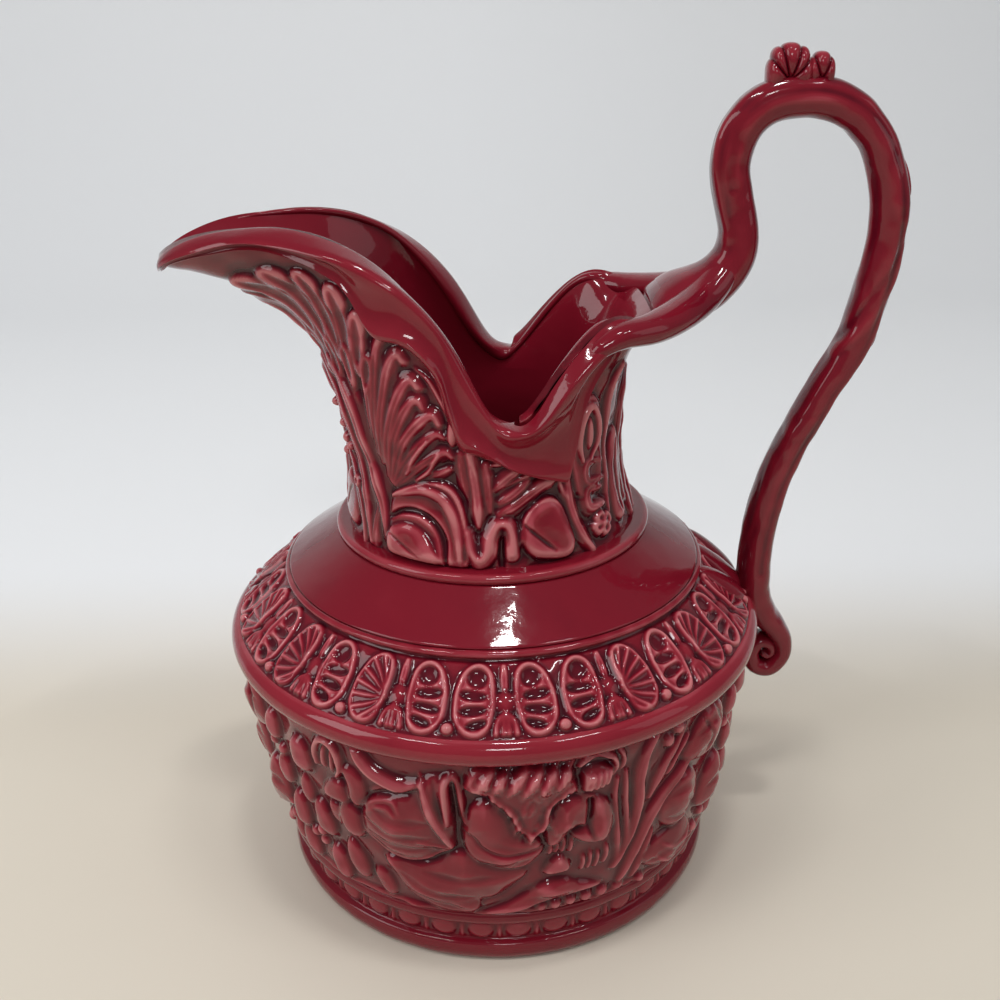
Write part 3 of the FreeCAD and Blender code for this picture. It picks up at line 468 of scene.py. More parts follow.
friezeForms = [
    # outline, high, how far in to full height
    # thigh, torso, drapery, arm, fist, pelt, leg
    ([(-25.5, 47), (-23, 38), (-19, 30), (-13.5, 25.5), (-7, 24.3), (-4.2, 28), (-3.8, 32.5), (0, 35),
      (3.5, 40), (6.3, 46), (4, 50), (-1, 51), (-4, 55), (-7, 57.5), (-10, 55.5), (-14, 50.5), (-19, 49),
      (-23, 49)], 3.7, 9),
    ([(-3.5, 26), (1.7, 30.5), (5.8, 35), (9.2, 39.8), (12, 41), (15.5, 40), (18, 37.5), (21.5, 35),
      (24.5, 31.5), (20, 31.3), (14, 31), (9, 28.6), (5, 25.8), (0, 24.6)], 3, 3.4),
    ([(-7, 69), (-7, 60), (-5.5, 54), (-2, 50.5), (2, 49), (6, 49.5), (8.5, 53), (9.8, 57), (8, 62),
      (5, 66), (2, 75), (-2, 81), (-5, 77)], 3.7, 6),
    ([(-6.5, 67), (-4.4, 65.2), (-3, 61.5), (0, 58.8), (4, 58), (9, 58.4), (8, 63), (4.5, 66), (2, 75),
      (-2, 81), (-5.4, 77)], 4.1, 4.5),
    ([(-29.8, 63), (-28.6, 70), (-25.5, 75.5), (-21, 78.5), (-17, 81), (-14.4, 88), (-11, 90), (-8.6, 89),
      (-8.2, 80), (-8.4, 68), (-8.6, 59), (-12, 54), (-17, 49.8), (-22, 49.5), (-27, 53.5),
      (-29.6, 58)], 4, 8),
    ([(-6.5, 85), (-4, 93), (-1, 94), (2, 92), (6, 94), (10, 92.5), (14.5, 91), (15.5, 86), (15.7, 81),
      (12.5, 79.5), (10.2, 75), (9, 67), (6.8, 62.5), (4.5, 66), (2.5, 74), (0, 78.5), (-3, 83.5)], 3.6, 4),
    ([(10.4, 57.5), (9.4, 69), (10.6, 74.5), (13.2, 78.3), (16, 79), (18.4, 76), (19.2, 70), (18.8, 64.5),
      (16.5, 65), (14.8, 61.8), (13, 58.5)], 4, 6),
    ([(15.2, 61.4), (17, 57.8), (20, 55.6), (23, 55.6), (24.6, 59), (24.9, 65), (24, 71), (22.5, 74.5),
      (20.3, 76), (18.9, 72), (18.6, 66)], 4, 5),
    ([(16.6, 87.5), (16.8, 81), (20, 80), (23, 82), (24, 87.5), (21.5, 90), (18.5, 90)], 3.4, 3),
    ([(9.8, 46), (11, 50), (13, 52.5), (14.5, 51), (15.8, 47.5), (15.5, 44.5), (12, 43.8),
      (10, 44.2)], 2.8, 2.2),
    # right-hand masses
    ([(38, 60), (41, 67), (46, 69), (50, 64), (51, 54), (48, 45), (43, 44), (38.5, 51)], 3.6, 7),
    ([(34, 37), (37, 30), (42, 26), (48, 26.5), (52.5, 33), (51, 41), (46, 44), (38, 43)], 3.6, 7),
    ([(43, 76), (46, 88), (51, 93), (56, 90), (58, 80), (55, 72), (49, 70)], 3.8, 6),
    ([(53, 46), (54, 58), (59, 64), (63, 58), (64, 48), (60, 40), (55.5, 40)], 4, 6),
    # left-hand leaves and stones
    ([(-39.5, 70), (-37, 75), (-33.5, 76.5), (-31.8, 71), (-33, 66.5), (-38.5, 66.5)], 2.6, 2.4),
    ([(-38.5, 64.5), (-33.5, 65), (-31, 60), (-34, 55), (-38.5, 57)], 2.2, 2.4),
    ([(-33.5, 84), (-30, 84), (-27.5, 79), (-27.5, 72), (-30, 67), (-32.5, 71), (-32.6, 78)], 2.4, 3)]
for outline, high, rim in friezeForms:
    friezeSheet.form(outline, high * frieze["highShare"], rim * frieze["rimShare"])

# soft modelling over the large masses: turn, rise, half width, half height, high, tilt
for swelling in (
        (-15, 39, 13, 7, 1.3, -20), (-5, 30, 8, 4, 0.8, -15), (-21, 66, 8, 9, 1.5, 0),
        (-13, 57, 7, 5, -0.8, 30), (-26, 57, 5, 5, -0.7, 0), (1, 55, 9, 5, 1.2, 8), (-4, 62, 4, 5, -0.6, 0),
        (13, 69, 5, 6, 1, 0), (22, 62, 4, 7, 0.9, 0), (6, 86, 9, 5, 1, 0), (45, 60, 7, 8, 1.2, 0),
        (43, 33, 8, 6, 1.2, 0), (51, 83, 7, 8, 1.2, 0), (58, 52, 6, 9, 1, 0), (12, 36, 10, 3, 0.8, 20)):
    friezeSheet.swell(*swelling)
# folds of the cloth
for fold in (
        [(-28, 60), (-22, 57), (-14, 58)], [(-28, 66), (-21, 63), (-13, 64)],
        [(-26, 72), (-20, 69.5), (-13, 71)], [(-22, 44), (-14, 38), (-5, 36)],
        [(-20, 36), (-12, 31), (-6, 29)], [(-16, 46), (-8, 45), (0, 46)], [(-4, 52), (1, 53), (7, 55)],
        [(40, 62), (45, 64), (49, 61)], [(40, 52), (45, 50), (50, 52)], [(36, 34), (42, 36), (49, 34)],
        [(46, 84), (51, 88), (56, 85)], [(55, 52), (59, 55), (63, 53)], [(2, 29), (9, 33), (18, 34.5)]):
    friezeSheet.stroke(fold, *frieze["fold"])

friezeDomes = [
    # turn, rise, half width, half height, high, tilt
    (-45.2, 79.5, 5.6, 7.6, 4.2, -8), (-32.2, 60.5, 5.6, 8.2, 4, -10), (-41.4, 53, 5, 9, 3.8, -10),
    (-39.2, 33.5, 4.8, 8.2, 3.8, -12), (-33.2, 40, 4.6, 9.4, 3.4, -14), (-51, 48.5, 5.2, 8.6, 3.9, -6),
    (-50.4, 33.5, 4.6, 8.6, 3.4, -10), (-46, 62, 4, 7, 2.6, -6), (-26.6, 33, 4.2, 7, 2.4, -18),
    (-54.5, 64, 4.6, 7.5, 3.6, 0), (-56.5, 82, 4.4, 7, 3.8, 4), (-56, 33, 4.2, 6.4, 3.2, 6),
    (9.8, 26.6, 2.4, 2.2, 2.2, 0), (13, 27, 2.6, 2.4, 2.4, 0), (16.6, 27.4, 2.6, 2.6, 2.4, 0),
    (20.4, 27.6, 2.8, 2.8, 2.4, 0), (24.6, 27.4, 2.8, 2.6, 2.2, 0), (29, 26.6, 3, 2.4, 2, 0)]
for dome in friezeDomes:
    friezeSheet.dome(*dome)

friezeStrokes = [
    # path, half width, high, how
    ([(-40.4, 79), (-39.8, 86), (-37.8, 91.5), (-35.2, 92), (-33.6, 88), (-33.4, 82),
      (-34.8, 77.5)], 1.6, 3),
    ([(-38.2, 79), (-37.6, 86), (-36.8, 90)], 1, 2.4), ([(-36, 78.5), (-35.4, 85), (-35.6, 89)], 0.9, 2.2),
    ([(-29.6, 96), (-27, 89), (-23.6, 85), (-19, 83), (-14.8, 85.5)], 3, 3.2),
    ([(-30.4, 95), (-27.8, 89), (-24, 84), (-19.6, 81.4)], 0.8, 0.7, "on"),
    ([(-14.8, 88.5), (-13.4, 78), (-11.4, 69.5), (-9.2, 59.5)], 1.7, 1.7, "on"),
    ([(-9.8, 70), (-9.9, 79), (-9.8, 87.4), (-8.7, 89.8), (-7.6, 87.6), (-7, 79.5),
      (-6.6, 70.5)], 1.35, 2, "on"),
    ([(-12.2, 88), (-11.6, 80), (-10.8, 73)], 0.9, 0.9, "cut"),
    ([(-8.75, 86.5), (-8.5, 78), (-8.2, 71)], 0.75, 1.9, "cut"),
    ([(-29, 58), (-26.2, 53.4), (-22, 50.6), (-17, 51), (-12.4, 55), (-9, 59)], 0.75, 0.8, "on"),
    ([(-28, 70), (-25, 75), (-21, 76.6), (-19.4, 73)], 0.8, 0.9, "on"),
    ([(-28.2, 67.5), (-25.4, 72), (-22, 73.6), (-20.4, 71)], 0.7, 0.6, "on"),
    ([(-26.6, 76.5), (-23.6, 79.6), (-19.8, 79.6)], 0.8, 0.8, "on"),
    ([(-16, 62), (-12, 60), (-9.4, 58.6)], 0.9, 0.7, "on"),
    ([(-10.8, 65), (-9.6, 62), (-9, 59.6)], 0.7, 0.8, "on"),
    ([(-6.8, 66.4), (-4.6, 65), (-3.2, 61.4), (0, 58.7), (4, 57.9), (9.4, 58.2)], 0.8, 0.9, "cut"),
    ([(19.4, 75.5), (19.2, 70), (18.9, 65), (20.2, 58.6)], 0.9, 1.3, "cut"),
    ([(15.3, 85.6), (16.1, 80.6), (18.6, 77), (21, 75.6)], 1, 1.2, "on"),
    ([(16.2, 90.6), (17.8, 93.6), (20.5, 94.3), (23, 92.4), (24, 88), (23.5, 84)], 1.2, 3.8),
    ([(24.4, 95), (25.8, 90), (25.6, 84.5)], 1, 2.6),
    # reeds and hanging cloth
    ([(25, 81), (24.8, 72), (26, 60), (27, 48), (27, 41)], 1.5, 2),
    ([(27, 83), (27.3, 72), (28.2, 62), (28.6, 52), (28, 42)], 1.4, 2.2),
    ([(26.6, 38.5), (28.6, 47), (30.3, 58), (31, 68), (30.5, 80), (31.5, 88), (34.5, 95)], 2.6, 2.4),
    ([(27, 39), (29.2, 48), (30.9, 58), (31.4, 68), (31, 80), (32.2, 88), (35, 94)], 0.6, 0.8, "on"),
    ([(29, 30), (31.4, 42), (34, 55), (37, 63), (42, 70), (47, 78)], 2.8, 2.6),
    ([(29.5, 31), (32, 42), (34.6, 54.5), (37.6, 62), (42.4, 69), (47, 77)], 0.6, 0.8, "on"),
    ([(33, 28), (35, 40), (37, 48)], 2, 1.8), ([(34, 66), (36, 76), (39, 84), (42, 91)], 2.2, 2.2),
    ([(38, 74), (40.4, 80), (44, 86)], 1.6, 2), ([(45, 60), (47.4, 54), (47, 48)], 1, 1, "cut"),
    ([(40, 40), (44, 36), (48, 36), (51, 38)], 0.9, 0.9, "on"),
    ([(38, 36), (42, 31), (47, 30), (51, 33)], 0.9, 0.9, "on"),
    ([(48, 90), (50, 82), (50, 74)], 0.9, 0.9, "cut"), ([(52, 92), (54, 84), (53.4, 76)], 0.9, 0.9, "cut")]
for path, wide, high, *how in friezeStrokes:
    friezeSheet.stroke(path, wide, high, *(how or ["over"]), frieze["ends"])

# fingers, grass, locks, fringe, tufts, stones and ground
for k, turn in enumerate((17.3, 18.4, 19.6, 20.8, 22)):
    finger = [(turn, 80.6 + 0.3 * k), (turn + 0.1, 84 + 0.3 * k), (turn + 0.5, 87 + 0.2 * k)]
    friezeSheet.stroke(finger, *frieze["finger"])
for turn, low, high in (
        (12.2, 54, 60.5), (13.6, 54, 61.5), (15.2, 53.5, 60), (18.4, 43, 50), (20, 42.5, 51), (21.8, 42, 50),
        (23.8, 43, 52), (10.8, 53.5, 58)):
    blade = [(turn, low), (turn + 0.4, (low + high) / 2), (turn + 0.2, high)]
    friezeSheet.stroke(blade, *frieze["grass"])
for k in range(20):
    turn, top = -5.6 + k * 1.05, 92.5 + 1.6 * math.sin(k * 2.1)
    lock = [(turn - 0.5, top - 6.5), (turn, top - 3), (turn + 0.9, top)]
    friezeSheet.stroke(lock, *frieze["lock"])
fringe = smoothPath([
    (-5, 83.5), (-2, 82), (0, 78), (2.4, 73.4), (4, 66.5), (6.6, 62.6), (8.8, 66), (10, 74), (12.4, 79),
    (15.4, 80.6)], False, 1)
for turn, rise in fringe:
    wag = rng.uniform(-0.5, 0.5)
    strand = [(turn + 0.6, rise + 4.5), (turn + 0.3 + wag, rise + 2), (turn + wag, rise - 0.6)]
    friezeSheet.stroke(strand, *frieze["strand"])
for k in range(60):
    turn, rise = rng.uniform(-3, 15), rng.uniform(66, 91)
    if 1.6 * turn + 4 > (90 - rise) * 0.5:  # only on the pelt
        bend, end = rng.uniform(-0.6, 0.6), rng.uniform(-1, 1)
        tuft = [(turn, rise + 2.4), (turn + bend, rise), (turn + end, rise - 2.4)]
        friezeSheet.stroke(tuft, *frieze["tuft"])
for turn, rise in (
        (-57, 46), (-53.5, 41), (-57.5, 39), (-44.5, 44), (-47.5, 40.5), (-44.5, 39), (-58, 74),
        (-54.5, 72.5), (40, 92), (37.5, 88.5), (35.6, 24.6), (56, 30), (59, 35)):
    friezeSheet.dome(turn, rise, *frieze["stone"])
ground = [(-60, 25), (-45, 24.8), (-30, 25.4), (-15, 24.6), (0, 25), (20, 24.6), (40, 25), (60, 25)]
friezeSheet.stroke(ground, *frieze["ground"])
friezeSheet.finish(*frieze["finish"])

bellyRun = np.linspace(frieze["low"], frieze["high"], len(bellyOuter))[:, None]
fade = np.clip(np.minimum(bellyRun - frieze["low"], frieze["high"] - bellyRun) / frieze["fade"], 0, 1)
for k in range(frieze["scenes"]):
    # one column more at each side, so that the scenes' normals meet
    local = np.arange(-1, frieze["cols"] + 2) * sceneTurns / frieze["cols"] - sceneTurns / 2
    turns = local + sceneTurns * k
    lift, crest = friezeSheet.read(local, bellyRun)
    skin = turned(bellyOuter, turns) + outward(bellyOuter, turns) * (lift * fade)[..., None]
    inner = turned(frieze["inner"], turns)
    marks = np.concatenate([crest, np.zeros(inner.shape[:2])])
    closed = np.concatenate([skin, inner])
    normals = gridNormals(closed, True, False)
    gridPiece("bellyFrieze%d" % k, closed[:, 1:-1], marks[:, 1:-1], (
        "belly_wall", "frieze_figures", "frieze_drapery", "frieze_fleece", "frieze_horns", "frieze_fruit",
        "frieze_reeds", "frieze_vine_leaves", "frieze_grapes", "frieze_rocks"), False, normals[:, 1:-1])
print("belly frieze made")

# belt, shoulder, band and neck ring

rings = {
    "turnSteps": 720,
    "belt": [(95.3, 94.5), (97.6, 95.5), (101.25, 99.75, 98.4, 105), (97.9, 105.2)], "beltSpacing": 0.4,
    "beltInner": [(90, 105.2), (89, 100), (90, 94.5)],
    "band": [(77.6, 125.4), (77, 126.2), (58.6, 138.2), (58.2, 138.5)], "bandSpacing": 0.5,
    "bandInner": [(49.6, 138.5), (69, 125.4)],
    "neckRing": [(57.2, 138.4), (58.6, 140.2, 57.2, 142), (53.4, 142.3)], "neckRingSpacing": 0.35,
    "neckRingInner": [(48.4, 142.3), (48.8, 140), (49.6, 138.4)]}
ringTurns = np.arange(rings["turnSteps"]) * 360 / rings["turnSteps"]
belt = alongProfile(rings["belt"], rings["beltSpacing"])
turnedPiece("beltRoll", belt, rings["beltInner"], ringTurns, ("belt_roll",), edgeGlazeAndHighlight(belt))

palmette = {
    "outer": [(97.9, 105), (77.6, 122.5), (78.6, 123.2), (79, 124, 78.6, 124.9), (77.6, 125.5)],
    "inner": [(69, 125.4), (69, 122.5), (89.4, 105)],
    "spacing": 0.4, "turnSteps": 1300, "perTurn": 1.54, "count": 16, "firstTurn": 2.2, "ridge": 122.6,
    "finish": (0.32, 0.08, 1.1),
    # strokes: half width, high, how, width shares at the ends
    "rib": (0.62, 0.8, "on", (0.3, 1)), "edge": (0.85, 0.95, "on"), "stem": (0.7, 1.1, "over", (0.4, 0.7)),
    "looseEnd": (1.1, 1.3, "over", (0.4, 0.9)), "groove": (0.8, 0.4, "cut"),
    "mass": (0.9, 1.8),  # high and how far in to full height
    "knot": (2.6, 3.4, 0.9),  # half width, half height, high
    "bead": (3.4, 2, 2, 2.4),  # up the slope, then the same
    "hollow": 1.3,
    # one half, in mm from its middle line and up the slope
    "outline": [(3.5, 14), (4.4, 21.6), (8.6, 24.4), (13.2, 22), (15.5, 16.1), (15.8, 10.2), (14.9, 5.4),
                (11.9, 2.1), (8.4, 1.5), (5.6, 3.8), (4.2, 8)],
    "hub": np.array([3.6, 10.4]), "bendShares": np.array([0.45, 0.56]),
    "ribs": [(5.2, 22.4), (8.6, 23.6), (12, 21.8), (14.2, 18), (15, 13.6), (14.8, 9.2), (13.2, 5),
             (9.8, 2.4)],
    # hollows: across, up, half width, half height, tilt
    "cells": [(9, 19.8, 3.7, 3.7, 60), (10.2, 14.3, 2.2, 4.6, 84), (10.1, 9.4, 2.1, 4.5, 97),
              (8.9, 5, 1.8, 3.4, 110)]}
shoulderOuter = alongProfile(palmette["outer"], palmette["spacing"])
shoulderRun = runAlong(shoulderOuter)
slopeLength = math.dist(*palmette["outer"][:2])
leafSheet = ReliefSheet(0, 360, 0, shoulderRun[-1], palmette["perTurn"])


def halfFan(centre, side, ribbed):
    def spots(*places):
        return [(centre + side * x / palmette["perTurn"], y) for x, y in places]
    outline = spots(*palmette["outline"])
    leafSheet.form(outline, *palmette["mass"])
    if ribbed:
        for end in palmette["ribs"]:
            bend = palmette["hub"] + palmette["bendShares"] * (end - palmette["hub"])
            leafSheet.stroke(spots(palmette["hub"], bend, end), *palmette["rib"])
    else:
        for x, y, wide, tall, tilt in palmette["cells"]:
            leafSheet.dome(*spots((x, y))[0], wide, tall, palmette["hollow"], side * tilt, "cut", 3)
    leafSheet.stroke(outline, *palmette["edge"], closed=True)
    # stem, knot and the two loose ends under it
    leafSheet.stroke(spots((0.5, 15), (0.7, 20), (0.4, 24.2)), *palmette["stem"])
    leafSheet.dome(*spots((1, 12.2))[0], *palmette["knot"])
    for x, top in ((0.8, 9.6), (3, 8.4)):
        leafSheet.stroke(spots((x * 0.5, top), (x * 0.9, top - 3.4), (x, 2.2)), *palmette["looseEnd"])


for k in range(palmette["count"]):
    centre = palmette["firstTurn"] + k * 360 / palmette["count"]
    for side in (-1, 1):
        halfFan(centre, side, k > 0 and side == (1 if k < palmette["count"] / 2 else -1))
    leafSheet.dome(centre + 180 / palmette["count"], *palmette["bead"])
leafSheet.stroke([(t, slopeLength - 0.9) for t in range(-10, 371, 5)], *palmette["groove"])
leafSheet.finish(*palmette["finish"])
shoulderTurns = np.arange(palmette["turnSteps"]) * 360 / palmette["turnSteps"]
lift, crest = leafSheet.read(shoulderTurns, shoulderRun[:, None])
fade = np.clip(np.minimum(shoulderRun, (slopeLength + 0.2 - shoulderRun) / 0.8), 0, 1)[:, None]
turnedPiece(
    "palmetteShoulder", shoulderOuter, palmette["inner"], shoulderTurns,
    ("shoulder_shell", "shoulder_ridge", "shoulder_palmettes", "shoulder_beads"),
    crest + edgeGlazeAndHighlight(shoulderOuter, palmette["ridge"]), lift * fade)

band = alongProfile(rings["band"], rings["bandSpacing"])
turnedPiece("smoothBand", band, rings["bandInner"], ringTurns, ("shoulder_band",))
neckRing = alongProfile(rings["neckRing"], rings["neckRingSpacing"])
turnedPiece("neckRing", neckRing, rings["neckRingInner"], ringTurns, ("neck_ring",), edgeGlazeAndHighlight(neckRing))
print("shoulder made")

# neck and mouth: turn 0 faces the handle, 90 the front, 180 the spout;
# level -1 is the neck's foot, 0 its top, 1 the lip

neck = {
    "base": 142, "top": 183, "radius": 53, "wall": 4.6,
    "back": 57, "reach": 113.6, "half": 49.7, "rise": 65.7,
    # the relief's first and last turn, lowest and highest place, mm to a degree, whether it wraps
    "sheet": (-4, 184, 0, 132, 0.87, False), "finish": (0.34, 0.16, 1.25),
    # height, then the radius towards the spout, towards the handle and to the sides
    "rowShares": np.array([
        (0, 1, 0.985, 1), (0.34, 0.975, 0.9, 0.94), (0.7, 0.965, 0.865, 0.9), (1, 1, 0.875, 0.9)]),
    # how far the wall's two pulls run out and up, of the way to the lip
    "firstShares": np.array([0.12, 0.12, 0.58]), "lastShares": np.array([0.74, 0.74, 0.145])}
lipShares = [
    # turn, along, to the side, up
    (0, 1, 0, 0.52), (14, 0.99, 0.38, 0.51), (28, 0.928, 0.68, 0.50), (40, 0.753, 0.767, 0.565),
    (50, 0.577, 0.855, 0.484), (63, 0.374, 0.958, 0.286), (77, 0.198, 1, 0.125), (91, -0.004, 0.893, 0.174),
    (107, -0.12, 0.785, 0.514), (122, -0.267, 0.75, 0.808), (137, -0.443, 0.644, 0.957),
    (150, -0.634, 0.459, 1), (163, -0.824, 0.356, 0.955), (172, -0.955, 0.19, 0.86), (180, -1, 0, 0.79)]


def easedRows(rows, value):
    k = np.clip(np.searchsorted(rows[:, 0], value, side="right") - 1, 0, len(rows) - 2)
    low, high = rows[k], rows[k + 1]
    before, after = rows[np.maximum(k - 1, 0)], rows[np.minimum(k + 2, len(rows) - 1)]
    span = high[..., :1] - low[..., :1]
    m = (value[..., None] - low[..., :1]) / span
    start = (high - before) / (high[..., :1] - before[..., :1]) * span
    end = (after - low) / (after[..., :1] - low[..., :1]) * span
    ease = 3 * m ** 2 - 2 * m ** 3
    return low * (1 - ease) + high * ease + (m ** 3 - 2 * m ** 2 + m) * start + (m ** 3 - m ** 2) * end


def closedSpline(knots, values, at):
    # one smooth ring through all the knots
    n = len(knots)
    h = np.diff(np.append(knots, knots[0] + 360))
    matrix, right = np.zeros((n, n)), np.zeros((n, values.shape[1]))
    for i in range(n):
        p, q = (i - 1) % n, (i + 1) % n
        matrix[i, p] += h[p]
        matrix[i, i] += 2 * (h[p] + h[i])
        matrix[i, q] += h[i]
        right[i] = 6 * ((values[q] - values[i]) / h[i] - (values[i] - values[p]) / h[p])
    bend = np.linalg.solve(matrix, right)
    at = np.mod(at, 360)
    k = np.searchsorted(knots, at, side="right") - 1
    q = (k + 1) % n
    hk = h[k][..., None]
    done = (at - knots[k])[..., None]
    left = hk - done
    curve = (bend[k] * left ** 3 + bend[q] * done ** 3) / (6 * hk)
    return curve + (values[k] / hk - bend[k] * hk / 6) * left + (values[q] / hk - bend[q] * hk / 6) * done


lipKnots, lipPoints = [], []
for turn, along, side, rise in lipShares + [(360 - t, a, -s, r) for t, a, s, r in reversed(lipShares[1:-1])]:
    lipKnots.append(float(turn))
    length = neck["back"] if along > 0 else neck["reach"]
    lipPoints.append((along * length, -side * neck["half"], neck["top"] + rise * neck["rise"]))
lipKnots, lipPoints = np.array(lipKnots), np.array(lipPoints)


def neckPoint(turn, share):
    row = easedRows(neck["rowShares"], share)
    a = np.radians(turn)
    lengthwise = np.where(np.cos(a) > 0, row[..., 2], row[..., 1])
    return np.stack([
        np.cos(a) * lengthwise * neck["radius"], -np.sin(a) * row[..., 3] * neck["radius"],
        neck["base"] + share * (neck["top"] - neck["base"])], -1)


def wallPoint(turn, level):
    turn, level = np.broadcast_arrays(np.asarray(turn, float), np.asarray(level, float))
    below = neckPoint(turn, np.clip(level + 1, 0, 1))
    start = neckPoint(turn, np.ones_like(turn))
    end = closedSpline(lipKnots, lipPoints, turn)
    first = start + (end - start) * neck["firstShares"]
    second = end - (end - start) * neck["lastShares"]
    t = np.clip(level, 0, 1)[..., None]
    s = 1 - t
    above = start * s ** 3 + first * 3 * s * s * t + second * 3 * s * t * t + end * t ** 3
    return np.where(level[..., None] <= 0, below, above)


wallTurns = ringTurns
mirrored = np.where(wallTurns <= 180, wallTurns, 360 - wallTurns)
tableLevels = np.linspace(-1, 1, 401)
wallRun = runAlong(wallPoint(wallTurns, tableLevels[:, None]))
neckSheet = ReliefSheet(*neck["sheet"])

neckForms = [
    # outline, high, how far in to full height: nested scroll, heart leaf, strapwork, two leaves
    ([(131, 1), (131.5, 12), (130, 21.5), (124, 25.5), (117, 28.8), (110, 29.6), (104, 27.5),
      (100.5, 22.5), (98.6, 15), (98, 7), (99.2, 0.6), (106, 0.5), (116, 0.5)], 2.4, 3),
    ([(79.4, 9), (78.6, 14), (76.5, 18.4), (72, 22), (66, 23.4), (61, 20), (58, 12), (56.6, 5), (60, 1),
      (68, 1.5), (75, 3.5)], 3, 3.6),
    ([(53, 22), (55, 40), (51, 52), (45, 56), (39, 50), (36, 36), (37, 24), (45, 20)], 1.6, 1.6),
    ([(170, 6), (169, 18), (162, 24), (154, 21), (150, 12), (156, 3)], 2.4, 4),
    ([(30, 6), (33, 20), (30, 34), (24, 40), (19, 30), (19, 14), (23, 5)], 2.2, 4)]
for outline, high, rim in neckForms:
    neckSheet.form(outline, high, rim)
scrollLobe = [(131, 2), (131, 9), (126, 12.8), (120, 13.8), (114.5, 11.5), (110.8, 6), (110, 1)]
neckSheet.form(scrollLobe, 1.6, 5, "on")

